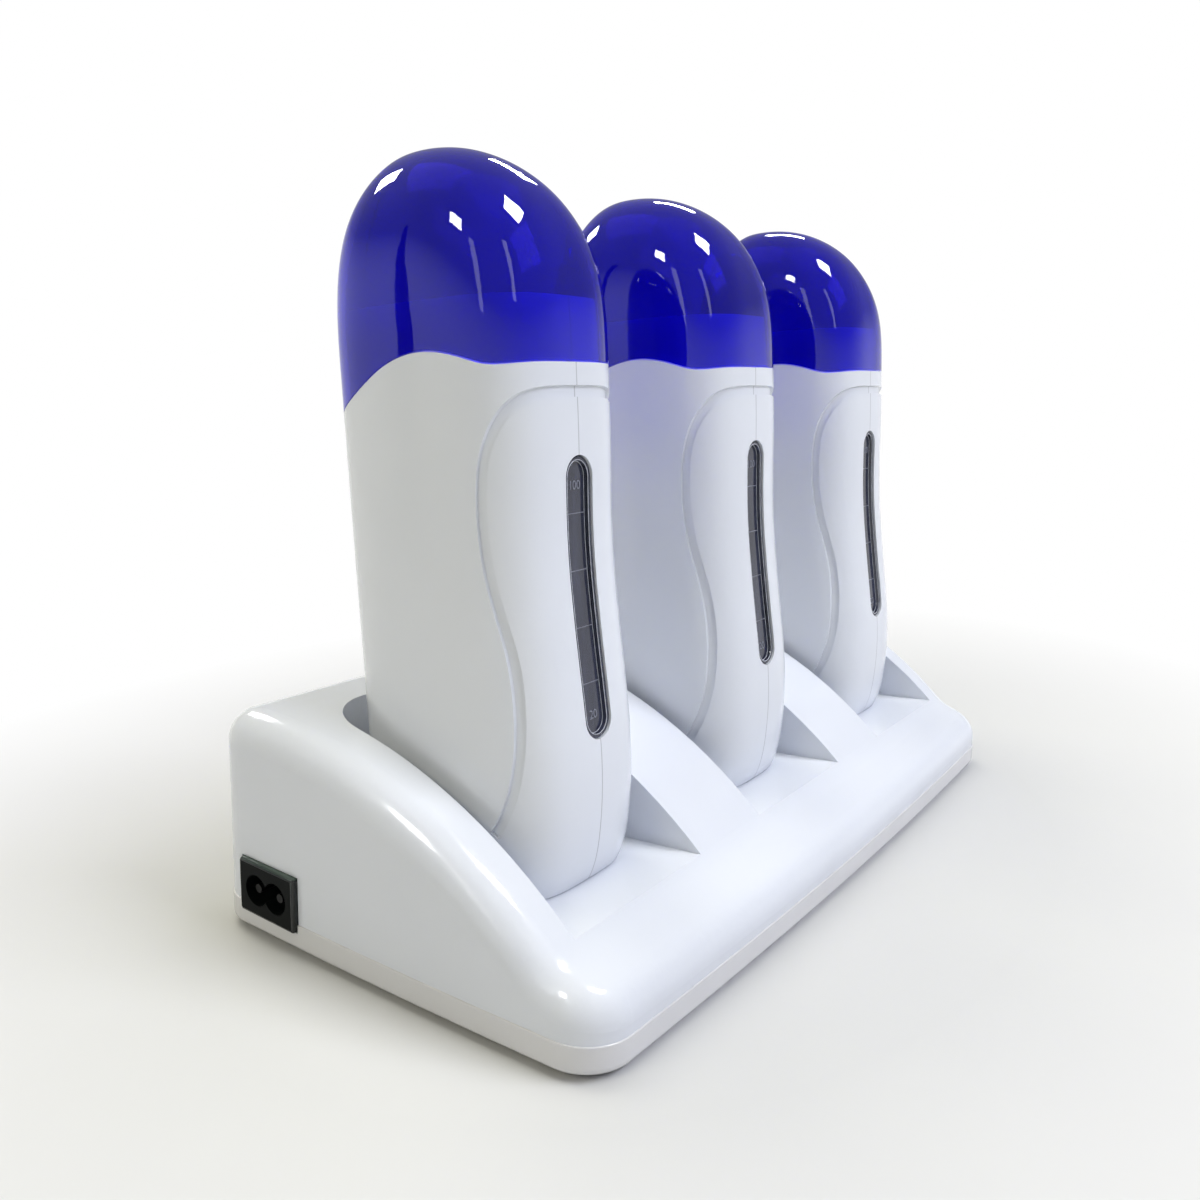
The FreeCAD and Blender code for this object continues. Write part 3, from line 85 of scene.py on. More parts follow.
# The chamfer round the mains inlet's flange, which is shown as a round.
INLET_CHAMFER = 0.9 * MM
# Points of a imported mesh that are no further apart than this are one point.
WELD = 0.002 * MM


# ---------------------------------------------------------------- settings


def colour(name, default, description):
    """A colour setting."""
    return FloatVectorProperty(name=name, subtype="COLOR", size=3, min=0.0, max=1.0, default=default,
                               description=description)


def length(name, default, description):
    """A length setting, in metres."""
    return FloatProperty(name=name, subtype="DISTANCE", unit="LENGTH", min=0.0, default=default,
                         description=description)


def angle(name, degrees, description):
    """An angle setting, given in degrees."""
    return FloatProperty(name=name, subtype="ANGLE", unit="ROTATION", default=math.radians(degrees),
                         description=description)


class WaxHeaterColours(bpy.types.PropertyGroup):
    casing: colour("Casing", (0.77, 0.795, 0.855), "White plastic of the base")
    # Darker and warmer than the casing: painted shade of the base's bottom near the floor
    tray: colour("Tray", (0.735, 0.730, 0.740), "White plastic of the base's bottom")
    handset: colour("Handset", (0.80, 0.825, 0.875), "White plastic of the handsets")
    cap: colour("Cap", (0.018, 0.010, 0.52), "Translucent plastic of the caps")
    window: colour("Window", (0.048, 0.054, 0.090), "Smoked plastic of the level windows")
    # Pale grey of the beads along the level windows' frames: painted highlight lines
    edge: colour("Window Edge", (0.62, 0.64, 0.70), "Thin polished edges of the level windows")
    marks: colour("Marks", (0.23, 0.24, 0.29), "Level marks in the windows")
    socket: colour("Socket", (0.009, 0.012, 0.012), "Black plastic of inlet, plugs and sockets")
    brass: colour("Brass", (0.78, 0.60, 0.30), "Contact tubes and the handsets' pins")
    # Nickel darkened far below bare metal: painted shade of the pins deep in the inlet's holes
    nickel: colour("Nickel", (0.03, 0.03, 0.03), "Tarnished pins of the mains inlet")
    steel: colour("Steel", (0.56, 0.57, 0.58), "Screws and thermal fuses")
    liner: colour("Liner", (0.72, 0.73, 0.75), "Aluminium cartridge liners")
    rubber: colour("Rubber", (0.030, 0.030, 0.032), "Feet")
    film: colour("Film", (0.50, 0.26, 0.05), "Insulating film of the heater plates")
    live: colour("Live", (0.16, 0.065, 0.025), "Live wires")
    neutral: colour("Neutral", (0.03, 0.11, 0.42), "Neutral wires")
    lead: colour("Lead", (0.75, 0.75, 0.72), "Leads in the handsets")


class WaxHeaterSizes(bpy.types.PropertyGroup):
    frame_width: length("Frame Width", 1.1 * MM, "Raised frame round the lens")
    frame_depth: length("Frame Depth", 1.1 * MM, "How far the pane lies below that frame")
    # The beads are pale and paint highlight lines along the lens's frame
    edge_radius: length("Edge Radius", 0.11 * MM, "Polished beads along the frame")
    mark_height: length("Mark Height", 0.24 * MM, "Level mark, along the window")
    mark_thickness: length("Mark Thickness", 0.14 * MM, "How far a level mark stands out of the pane")
    mark_count: IntProperty(name="Mark Count", default=4, min=2, description="Level marks in a window")
    number_height: length("Number Height", 3.2 * MM, "Figures in the window")
    parting_width: length("Parting Width", 0.34 * MM, "Joint of the two shells of a handset")
    recess_width: FloatProperty(name="Recess Width", default=0.2, min=0.05, max=0.5,
                                description="Arm of a screw's cross, as a share of its head")


class WaxHeaterStage(bpy.types.PropertyGroup):
    camera_place: FloatVectorProperty(name="Camera Place", subtype="TRANSLATION", size=3,
                                      default=(-0.29854, -0.17559, 0.15443), description="Camera position")
    heading: angle("Heading", -54.633, "Turn of the camera about the upright, from looking along +Y")
    pitch: angle("Pitch", -12.624, "Rise of the camera's line of sight")
    roll: angle("Roll", 2.123, "Turn of the camera about its line of sight")
    lens: FloatProperty(name="Lens", default=32.46, min=1.0, description="Focal length on a 36 mm sensor")
    floor: colour("Floor", (0.63, 0.63, 0.63), "Floor under the part")
    room: colour("Room", (0.045, 0.05, 0.08), "Light that comes from the whole room")
    shine: colour("Shine", (0.30, 0.30, 0.33), "Room that gloss shows above the horizon")


# ---------------------------------------------------------------- shader writing


def operator_pair(operation):
    """A Math node's operation as an operator on signals, and its reflected form."""
    return (lambda self, other: self.paint.maths(operation, self, other),
            lambda self, other: self.paint.maths(operation, other, self))


class Signal:
    """A shader socket's output that can stand in an expression."""

    def __init__(self, paint, socket):
        self.paint = paint
        self.socket = socket

    __add__, __radd__ = operator_pair("ADD")
    __sub__, __rsub__ = operator_pair("SUBTRACT")
    __mul__, __rmul__ = operator_pair("MULTIPLY")
    __truediv__, __rtruediv__ = operator_pair("DIVIDE")


class Paint:
    """Writes the nodes of one material or world."""

    def __init__(self, owner):
        owner.use_nodes = True
        self.owner = owner
        self.tree = owner.node_tree
        self.tree.nodes.clear()

    def node(self, kind, settings=None, inputs=None, output=0):
        """Adds a node, sets it up, fills or links its sockets and returns one of its outputs."""
        node = self.tree.nodes.new(kind)
        for name, value in (settings or {}).items():
            setattr(node, name, value)
        for name, value in (inputs or {}).items():
            socket = node.inputs[name]
            if isinstance(value, Signal):
                self.tree.links.new(value.socket, socket)
            else:
                socket.default_value = value
        return Signal(self, node.outputs[output]) if node.outputs else node

    def maths(self, operation, *terms):
        """A Math node on values or signals."""
        return self.node("ShaderNodeMath", {"operation": operation}, dict(enumerate(terms)))

    def place(self, scale=(1.0, 1.0, 1.0)):
        """Object coordinates, stretched."""
        spot = self.node("ShaderNodeTexCoord", output="Object")
        return self.node("ShaderNodeMapping", inputs={"Vector": spot, "Scale": scale})

    def axis(self, letter):
        """One of the object coordinates."""
        spot = self.node("ShaderNodeTexCoord", output="Object")
        return self.node("ShaderNodeSeparateXYZ", inputs={0: spot}, output=letter)

    def noise(self, scale, detail=2.0, stretch=(1.0, 1.0, 1.0), roughness=0.5):
        """Noise between 0 and 1, drawn out along an axis where the stretch is small."""
        return self.node("ShaderNodeTexNoise", inputs={
            "Vector": self.place(stretch), "Scale": scale, "Detail": detail, "Roughness": roughness})

    def span(self, signal, low, high, from_low=0.0, from_high=1.0):
        """A signal stretched from one range to another and held within it."""
        return self.node("ShaderNodeMapRange", inputs={
            "Value": signal, "From Min": from_low, "From Max": from_high, "To Min": low, "To Max": high})

    def mix(self, share, first, second):
        """A colour between two others."""
        return self.node("ShaderNodeMix", {"data_type": "RGBA"}, {"Factor": share, "A": as_rgba(first),
                                                                   "B": as_rgba(second)}, output="Result")

    def mottled(self, tint, signal, limits, shades):
        """A tint that goes from one shade to another between two values of a signal."""
        return self.mix(self.span(signal, 0.0, 1.0, *limits), *(shade(tint, factor) for factor in shades))

    def bump(self, height, strength, distance, normal=None):
        """A Bump node's normal, laid over another normal if one is given."""
        inputs = {"Height": height, "Strength": strength, "Distance": distance}
        if normal is not None:
            inputs["Normal"] = normal
        return self.node("ShaderNodeBump", inputs=inputs)

    def surface(self, **inputs):
        """A Principled BSDF. Underscores in a name stand for spaces."""
        named = {name.replace("_", " "): as_rgba(value) for name, value in inputs.items()}
        return self.node("ShaderNodeBsdfPrincipled", inputs=named)

    def end(self, shader):
        """Ends the material in a shader and returns it."""
        self.node("ShaderNodeOutputMaterial", inputs={"Surface": shader})
        return self.owner

    def principled(self, **inputs):
        """Ends the material in a Principled BSDF."""
        return self.end(self.surface(**inputs))


def as_rgba(value):
    """A colour with its alpha; anything else as it is."""
    if isinstance(value, (int, float, str, Signal)):
        return value
    return (*value, 1.0) if len(value) == 3 else tuple(value)


def shade(tint, factor):
    """A lighter or darker tint."""
    return tuple(min(1.0, c * factor) for c in tint)


def new_paint(name):
    """The nodes of a new material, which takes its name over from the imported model's one, if any."""
    packed = bpy.data.materials.get(name)
    if packed:
        packed.name = name + "_packed"
    return Paint(bpy.data.materials.new(name))


# ---------------------------------------------------------------- finishes


def glossy_white(name, tint, parting=None):
    """Injection-moulded white plastic: polished, with faint flow clouds and fine handling scratches. With
    (pitch, width), a dark joint runs along every plane X = n * pitch."""
    paint = new_paint(name)
    cloud = paint.noise(14.0, 3.0)
    scratch = paint.noise(420.0, 4.0, (1.0, 1.0, 0.06), 0.65)
    dust = paint.noise(2600.0, 2.0)
    worn = paint.span(scratch, 0.0, 1.0, 0.56, 0.74)
    base = paint.mottled(tint, cloud, (0.3, 0.7), (0.965, 1.02))
    roughness = 0.10 + cloud * 0.05 + worn * 0.09
    skin = paint.bump(cloud, 0.05, 1.2 * MM)
    fine = paint.bump(dust, 0.04, 0.02 * MM, skin)
    if parting:
        pitch, width = parting
        x = paint.axis("X")
        off = paint.maths("ABSOLUTE", x - paint.maths("ROUND", x / pitch) * pitch)
        joint = paint.span(off, 1.0, 0.0, width * 0.3, width * 0.6)
        base = paint.mix(joint * 0.5, base, shade(tint, 0.30))
        fine = paint.bump(1.0 - joint, 0.5, 0.12 * MM, fine)
    return paint.principled(Base_Color=base, Roughness=roughness, Normal=fine, IOR=1.5)


def translucent_blue(name, tint):
    """Clear plastic dyed deep blue, polished, with a few hairline scratches and moulding waves. Light from
    the lamps passes it tinted, so that the collar inside is lit."""
    paint = new_paint(name)
    wave = paint.noise(38.0, 1.0, (1.0, 1.0, 0.25))
    scratch = paint.noise(520.0, 4.0, (1.0, 0.08, 1.0), 0.6)
    base = paint.mottled(tint, wave, (0.3, 0.7), (0.92, 1.06))
    roughness = 0.025 + paint.span(scratch, 0.0, 0.10, 0.60, 0.76)
    skin = paint.bump(wave, 0.06, 0.5 * MM)
    surface = paint.surface(Base_Color=base, Roughness=roughness, Normal=skin, IOR=1.49,
                            Transmission_Weight=0.84, Specular_IOR_Level=0.24)
    light = paint.node("ShaderNodeBsdfTransparent", inputs={"Color": (0.32, 0.30, 0.98, 1.0)})
    lamp_ray = paint.node("ShaderNodeLightPath", output="Is Shadow Ray")
    return paint.end(paint.node("ShaderNodeMixShader", inputs={0: lamp_ray, 1: surface, 2: light}))


def smoked_window(name, tint):
    """Smoked clear plastic, polished and slightly dusty, with paler streaks along its length that are
    painted reflections.
    """
    paint = new_paint(name)
    dust = paint.noise(300.0, 4.0, roughness=0.7)
    painted_reflection_streak = paint.noise(260.0, 2.0, (1.0, 1.0, 0.08))
    # painted reflection: paler vertical streaks, up to 1.45 times the tint
    base = paint.mottled(tint, painted_reflection_streak, (0.35, 0.7), (0.8, 1.45))
    roughness = 0.05 + paint.span(dust, 0.0, 0.16, 0.5, 0.8)
    return paint.principled(Base_Color=base, Roughness=roughness, IOR=1.52, Transmission_Weight=0.35,
                            Normal=paint.bump(dust, 0.03, 0.1 * MM))


def follow_noise(name, tint, noise, limits, shades, rough, relief, **more):
    """A finish whose tint, roughness and relief all follow one noise."""
    paint = new_paint(name)
    pattern = paint.noise(*noise)
    least, gain = rough
    return paint.principled(Base_Color=paint.mottled(tint, pattern, limits, shades),
                            Roughness=least + pattern * gain, Normal=paint.bump(pattern, *relief), **more)


def painted_highlight_plastic(name, tint):
    """A pale polished finish for thin beads, which draw painted highlight lines along the windows' frames.
    """
    return follow_noise(name, tint, noise=(700.0, 2.0), limits=(0.3, 0.7), shades=(0.7, 1.15),
                        rough=(0.08, 0.12), relief=(0.05, 0.05 * MM), IOR=1.52)


def etched_marks(name, tint):
    """Frosted marks etched in the lens."""
    return follow_noise(name, tint, noise=(3000.0, 3.0), limits=(0.35, 0.65), shades=(0.8, 1.15),
                        rough=(0.35, 0.2), relief=(0.2, 0.03 * MM))


def grained_plastic(name, tint, roughness=0.42, gloss=0.5):
    """Moulded matt plastic with a fine spark-eroded grain and polish where it is handled."""
    paint = new_paint(name)
    grain = paint.noise(4200.0, 3.0, roughness=0.6)
    cloud = paint.noise(120.0, 3.0)
    base = paint.mottled(tint, cloud, (0.3, 0.7), (0.85, 1.5))
    rough = (roughness - 0.08) + cloud * 0.16
    return paint.principled(Base_Color=base, Roughness=rough, Specular_IOR_Level=gloss,
                            Normal=paint.bump(grain, 0.35, 0.05 * MM))


def rimmed_plastic(name, tint, middle, half):
    """Matt black plastic, polished outside a rectangle in Y and Z about a middle, where what faces up is
    lightened to grey-green as a painted top light."""
    paint = new_paint(name)
    cloud = paint.noise(120.0, 3.0)
    grain = paint.bump(paint.noise(4200.0, 3.0, roughness=0.6), 0.2, 0.04 * MM)
    matt = paint.surface(Base_Color=paint.mix(cloud, shade(tint, 0.3), shade(tint, 0.5)),
                         Roughness=0.32 + cloud * 0.1, Specular_IOR_Level=0.05, Normal=grain)
    way = paint.node("ShaderNodeTexCoord", output="Normal")
    rise = paint.node("ShaderNodeSeparateXYZ", inputs={0: way}, output="Z")
    # painted top light: a grey-green laid on faces that point up, stronger the more they face up
    painted_top_light = paint.mix(cloud, (0.060, 0.090, 0.074), (0.085, 0.120, 0.100))
    base = paint.mix(paint.span(rise, 0.0, 1.0, 0.35, 0.95), shade(tint, 1.1), painted_top_light)
    polish = paint.surface(Base_Color=base, Roughness=0.12 + cloud * 0.1, Normal=grain)
    past = [paint.maths("ABSOLUTE", paint.axis(letter) - spot) - reach
            for letter, spot, reach in zip("YZ", middle, half)]
    share = paint.span(paint.maths("MAXIMUM", *past), 0.0, 1.0, 0.05 * MM, 0.15 * MM)
    return paint.end(paint.node("ShaderNodeMixShader", inputs={0: share, 1: matt, 2: polish}))


def soft_rubber(name, tint):
    """Dull rubber, dusty in places."""
    paint = new_paint(name)
    grain = paint.noise(2600.0, 4.0, roughness=0.7)
    dust = paint.noise(240.0, 3.0)
    base = paint.mottled(tint, dust, (0.45, 0.75), (1.0, 2.2))
    return paint.principled(Base_Color=base, Roughness=0.72 + dust * 0.18,
                            Normal=paint.bump(grain, 0.5, 0.08 * MM))


def plain_metal(name, tint, roughness, stretch):
    """Bare metal with drawing or turning lines along one direction and a little tarnish."""
    paint = new_paint(name)
    lines = paint.noise(900.0, 3.0, stretch)
    tarnish = paint.noise(90.0, 4.0, roughness=0.6)
    base = paint.mottled(tint, tarnish, (0.4, 0.75), (1.0, 0.72))
    rough = (roughness - 0.05) + lines * 0.12 + tarnish * 0.06
    return paint.principled(Base_Color=base, Roughness=rough, Metallic=1.0,
                            Normal=paint.bump(lines, 0.15, 0.05 * MM))


def amber_film(name, tint):
    """Polyimide film wrapped over the heater plate, with creases."""
    return follow_noise(name, tint, noise=(160.0, 3.0, (1.0, 0.4, 1.0), 0.6), limits=(0.35, 0.65),
                        shades=(0.75, 1.2), rough=(0.18, 0.2), relief=(0.3, 0.3 * MM), IOR=1.6)


def wire_sheath(name, tint):
    """Soft vinyl insulation with faint extrusion mottle."""
    return follow_noise(name, tint, noise=(700.0, 3.0), limits=(0.3, 0.7), shades=(0.85, 1.12),
                        rough=(0.36, 0.14), relief=(0.15, 0.05 * MM))


# ---------------------------------------------------------------- pieces


def colours():
    """The scene's colour settings."""
    return bpy.context.scene.wax_heater_colours


def sizes():
    """The scene's size settings."""
    return bpy.context.scene.wax_heater_sizes


def give(material, *names):
    """Puts a material on CAD nodes."""
    for name in names:
        slots = NODES[name].material_slots
        if not slots:
            NODES[name].data.materials.append(material)
        for slot in slots:
            slot.material = material


def each(pattern):
    """The three names of a piece that every handset or bay has."""
    return [pattern % number for number in HANDSETS]


def handset_frame(number):
    """Matrix from a handset's own axes to the model: X across, Y to its back, Z up its leaning axis."""
    joint = next(j for j in frame["joints"] if j["child"] == "handset_%d" % number)
    axis = Vector(joint["axis"]).normalized()
    back = Vector((0.0, axis.z, -axis.y))
    corners = [v.co for v in NODES["handset_%d_socket" % number].data.vertices]
    low = min(p.dot(axis) for p in corners)
    mouth = [p for p in corners if p.dot(axis) < low + 0.05 * MM]
    rows = []
    for direction in (Vector((1.0, 0.0, 0.0)), back, axis):
        along = [p.dot(direction) for p in mouth]
        rows.append((min(along) + max(along)) / 2)
    turn = Matrix((Vector((1.0, 0.0, 0.0)), back, axis)).transposed()
    return Matrix.Translation(turn @ Vector(rows)) @ turn.to_4x4()


def new_object(name, mesh, material=None):
    """A new object of the scene."""
    piece = bpy.data.objects.new(name, mesh)
    bpy.context.scene.collection.objects.link(piece)
    if material is not None:
        mesh.materials.append(material)
    return piece


def evaluated_mesh(piece):
    """A new mesh of what a piece's modifiers or its curve make."""
    graph = bpy.context.evaluated_depsgraph_get()
    return bpy.data.meshes.new_from_object(piece.evaluated_get(graph), depsgraph=graph)


def settle(piece):
    """Turns a piece with live modifiers into a plain mesh."""
    mesh = evaluated_mesh(piece)
    piece.modifiers.clear()
    piece.data = mesh
    used = {face.material_index for face in mesh.polygons}
    for index in reversed(range(len(mesh.materials))):
        if index not in used:
            mesh.materials.pop(index=index)
    return piece


def finish_piece(piece, body, smooth=True):
    """Shades a piece and lets it ride on its body."""
    for face in piece.data.polygons:
        face.use_smooth = smooth
    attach(piece, body)


def mesh_from(name, points, edges=(), faces=()):
    """A mesh from plain lists."""
    mesh = bpy.data.meshes.new(name)
    mesh.from_pydata(points, edges, faces)
    return mesh


def mesh_of(form, name):
    """A mesh from a BMesh, which is freed."""
    mesh = bpy.data.meshes.new(name)
    form.to_mesh(mesh)
    form.free()
    return mesh


class LensSurface:
    """The front face of a handset's lens, in the handset's own axes."""

    # Degrees between the points of a loop's ends, and steps along each of its sides
    ARC_STEP, SIDE_STEPS = 6, 28

    def __init__(self, number):
        node = NODES["handset_%d_window" % number]
        self.place = handset_frame(number)
        home = self.place.inverted()
        points = [home @ v.co for v in node.data.vertices]
        self.tree = BVHTree.FromPolygons(points, [tuple(p.vertices) for p in node.data.polygons])
        self.half = max(p.x for p in points) - FLANGE_MARGIN - LENS_GAP
        self.low = min(p.z for p in points) + FLANGE_MARGIN + LENS_GAP
        self.high = max(p.z for p in points) - FLANGE_MARGIN - LENS_GAP
        self.front = min(p.y for p in points) - 10 * MM

    def at(self, across, up, lift=0.0):
        """A point on the face and the face's normal there."""
        start = Vector((across, self.front, up))
        spot, normal, _, _ = self.tree.ray_cast(start, Vector((0.0, 1.0, 0.0)))
        if spot is None:
            raise RuntimeError("no lens at %.4f, %.4f" % (across, up))
        return spot + normal * lift, normal

    def loop(self, inset, lift):
        """Points round the lens at an inset from the window's edge, as a closed stadium. A negative inset
        lies on the flange behind the wall."""
        half = self.half - inset
        low, high = self.low + inset + half, self.high - inset - half
        turns = [math.radians(a) for a in range(0, 181, self.ARC_STEP)]
        shares = [n / self.SIDE_STEPS for n in range(1, self.SIDE_STEPS)]
        path = [(half * math.cos(a), high + half * math.sin(a)) for a in turns]
        path += [(-half, high + (low - high) * share) for share in shares]
        path += [(-half * math.cos(a), low - half * math.sin(a)) for a in turns]
        path += [(half, low + (high - low) * share) for share in shares]
        return [self.place @ self.at(across, up, lift)[0] for across, up in path]


def geometry_tree(name, inputs, grow):
    """A Geometry Nodes tree with named inputs of the given kinds, which realizes and paints what grow makes
    of them. Gives the tree and a dictionary of its inputs' identifiers."""
    tree = bpy.data.node_groups.new(name, "GeometryNodeTree")
    identifiers = {label: tree.interface.new_socket(label, in_out="INPUT",
                                                    socket_type="NodeSocket" + kind).identifier
                   for label, kind in (*inputs.items(), ("Material", "Material"))}
    tree.interface.new_socket("Result", in_out="OUTPUT", socket_type="NodeSocketGeometry")
    add, link = tree.nodes.new, tree.links.new
    given, result = add("NodeGroupInput"), add("NodeGroupOutput")
    real, paint = add("GeometryNodeRealizeInstances"), add("GeometryNodeSetMaterial")
    link(grow(add, link, given.outputs), real.inputs["Geometry"])
    link(real.outputs["Geometry"], paint.inputs["Geometry"])
    link(given.outputs["Material"], paint.inputs["Material"])
    link(paint.outputs["Geometry"], result.inputs["Result"])
    return tree, identifiers


def scatter_tree(name):
    """One object repeated on every point of the input, turned by the point's turn."""
    def grow(add, link, given):
        info, turn = add("GeometryNodeObjectInfo"), add("GeometryNodeInputNamedAttribute")
        copies = add("GeometryNodeInstanceOnPoints")
        turn.data_type = "FLOAT_VECTOR"
        turn.inputs["Name"].default_value = "turn"
        link(given["Pattern"], info.inputs["Object"])
        link(given["Places"], copies.inputs["Points"])
        link(info.outputs["Geometry"], copies.inputs["Instance"])
        link(turn.outputs["Attribute"], copies.inputs["Rotation"])
        return copies.outputs["Instances"]

    return geometry_tree(name, {"Places": "Geometry", "Pattern": "Object"}, grow)


def bead_tree(name):
    """A round bead along the edges of the input."""
    def grow(add, link, given):
        path, section = add("GeometryNodeMeshToCurve"), add("GeometryNodeCurvePrimitiveCircle")
        tube = add("GeometryNodeCurveToMesh")
        section.inputs["Resolution"].default_value = 8
        link(given["Lines"], path.inputs["Mesh"])
        link(given["Radius"], section.inputs["Radius"])
        link(path.outputs["Curve"], tube.inputs["Curve"])
        link(section.outputs["Curve"], tube.inputs["Profile Curve"])
        return tube.outputs["Mesh"]

    return geometry_tree(name, {"Lines": "Geometry", "Radius": "Float"}, grow)


def through(name, mesh, nodes, inputs):
    """An object made by running a Geometry Nodes tree, given with its identifiers, on a mesh."""
    tree, identifiers = nodes
    piece = new_object(name, mesh)
    modifier = piece.modifiers.new("nodes", "NODES")
    modifier.node_group = tree
    for label, value in inputs.items():
        modifier[identifiers[label]] = value
    return settle(piece)


def places_mesh(name, spots):
    """Points with a turn each, from (position, Euler) pairs."""
    mesh = mesh_from(name, [spot for spot, _ in spots])
    turns = mesh.attributes.new("turn", "FLOAT_VECTOR", "POINT")
    for item, (_, euler) in zip(turns.data, spots):
        item.vector = tuple(euler)
    return mesh


def revolved(name, profile, steps):
    """A mesh turned from (radius, height) pairs, closed where they begin and end on the axis."""
    form = bmesh.new()
    rings = []
    for radius, height in profile:
        if radius == 0.0:
            rings.append([form.verts.new((0.0, 0.0, height))])
            continue
        turns = [2 * math.pi * n / steps for n in range(steps)]
        rings.append([form.verts.new((radius * math.cos(a), radius * math.sin(a), height)) for a in turns])
    for one, two in zip(rings, rings[1:]):
        for n in range(steps):
            m = (n + 1) % steps
            corners = [one[n % len(one)], one[m % len(one)], two[m % len(two)], two[n % len(two)]]
            form.faces.new(list(dict.fromkeys(corners)))
    bmesh.ops.recalc_face_normals(form, faces=form.faces)
    return mesh_of(form, name)


def cross_cutter(name, head, depth, share):
    """A tapered cross that cuts a screwdriver's recess, its floor at -depth."""
    form = bmesh.new()
    for turn in (0.0, math.pi / 2):
        top, low = head * 0.62, head * 0.28
        wide = head * share
        verts = []
        for z, reach in ((-depth, low), (depth, top)):
            side = wide if z > 0 else wide * 0.7
            for x, y in ((-reach, -side), (reach, -side), (reach, side), (-reach, side)):
                spot = Matrix.Rotation(turn, 3, "Z") @ Vector((x, y, z))
                verts.append(form.verts.new(spot))
        for face in ((0, 3, 2, 1), (4, 5, 6, 7), (0, 1, 5, 4), (1, 2, 6, 5), (2, 3, 7, 6), (3, 0, 4, 7)):
            form.faces.new([verts[n] for n in face])
    return mesh_of(form, name)


def screw_pattern(name, shank, length_in, head, head_height):
    """One pan-head screw with a cross recess and a thread of ridges, its seat at the origin, point up."""
    pitch, root = shank * 0.75, shank * 0.76
    profile = [(0.0, -head_height)]
    profile += [(head * math.sin(math.radians(a)), -head_height * (0.45 + 0.55 * math.cos(math.radians(a))))
                for a in (12, 25, 38, 52, 66, 80, 90)]
    profile += [(head, -head_height * 0.12), (head * 0.96, 0.0), (shank * 0.9, 0.0)]
    height = pitch * 0.6
    while height < length_in - shank * 1.4:
        profile += [(root, height), (shank, height + pitch * 0.42), (shank, height + pitch * 0.52),
                    (root, height + pitch * 0.94)]
        height += pitch
    profile += [(shank * 0.7, length_in - shank * 0.9), (0.0, length_in)]
    body = new_object(name, revolved(name, profile, 40))
    cross = cross_cutter(name, head, head_height * 0.62, sizes().recess_width)
    cutter = new_object(name + "_cutter", cross)
    cutter.data.transform(Matrix.Translation((0.0, 0.0, -head_height)) @ Matrix.Rotation(math.pi, 4, "X"))
    cut = body.modifiers.new("recess", "BOOLEAN")
    cut.operation, cut.solver, cut.object, cut.use_self = "DIFFERENCE", "EXACT", cutter, True
    settle(body)
    bpy.data.objects.remove(cutter)
    return body


def islands(node):
    """The separate solids of a CAD node, each as a list of points, in the order of the node's points."""
    form = bmesh.new()
    form.from_mesh(NODES[node].data)
    bmesh.ops.remove_doubles(form, verts=form.verts, dist=WELD)
    seen, groups = set(), []
    for vert in form.verts:
        if vert in seen:
            continue
        seen.add(vert)
        stack, group = [vert], []
        while stack:
            here = stack.pop()
            group.append(here.co.copy())
            for other in (edge.other_vert(here) for edge in here.link_edges):
                if other not in seen:
                    seen.add(other)
                    stack.append(other)
        groups.append(group)
    form.free()
    return groups


def span_along(points, direction):
    """The lowest and highest reach of points along a direction."""
    along = [p.dot(direction) for p in points]
    return min(along), max(along)


def screw_places(node, direction):
    """Seat, shank, length and head of the screws in a node, all pointing along a direction."""
    direction = direction.normalized()
    side = direction.orthogonal().normalized()
    other = direction.cross(side)
    spots, measure = [], None
    for group in islands(node):
        low, high = span_along(group, direction)
        middle = [sum(span_along(group, d)) / 2 for d in (side, other)]

        def radius(point):
            """A point's distance from the screw's axis."""
            return math.hypot(point.dot(side) - middle[0], point.dot(other) - middle[1])

        head = max(radius(p) for p in group)
        seat = max(p.dot(direction) for p in group if radius(p) > head * 0.99)
        shank = max(radius(p) for p in group if p.dot(direction) > seat + 0.5 * MM)
        measure = (shank, high - seat, head, seat - low)
        spots.append((side * middle[0] + other * middle[1] + direction * seat,
                      direction.to_track_quat("Z", "X").to_euler()))
    return spots, measure


# ---------------------------------------------------------------- operators


class WAX_OT_casings(bpy.types.Operator):
    """Finish the base, its feet and the handset shells"""

    bl_idname = "wax_heater.casings"
    bl_label = "Casings"

    def execute(self, context):
        give(glossy_white("casing_white", colours().casing), "base_top_housing")
        # The tray's darker, warmer tint is painted shade of the base's bottom
        give(glossy_white("tray_white", colours().tray), "base_bottom_tray")
        shells = each("handset_%d_shell_left") + each("handset_%d_shell_right")
        pitch = handset_frame(2).translation.x - handset_frame(1).translation.x
        joined = glossy_white("handset_white", colours().handset, (pitch, sizes().parting_width))
        give(joined, *shells)
        give(soft_rubber("foot_rubber", colours().rubber), "rubber_feet")
        return {"FINISHED"}


class WAX_OT_caps(bpy.types.Operator):
    """Finish the translucent caps"""

    bl_idname = "wax_heater.caps"
    bl_label = "Caps"

    def execute(self, context):
        give(translucent_blue("cap_blue", colours().cap), *each("cap_%d"))
        return {"FINISHED"}


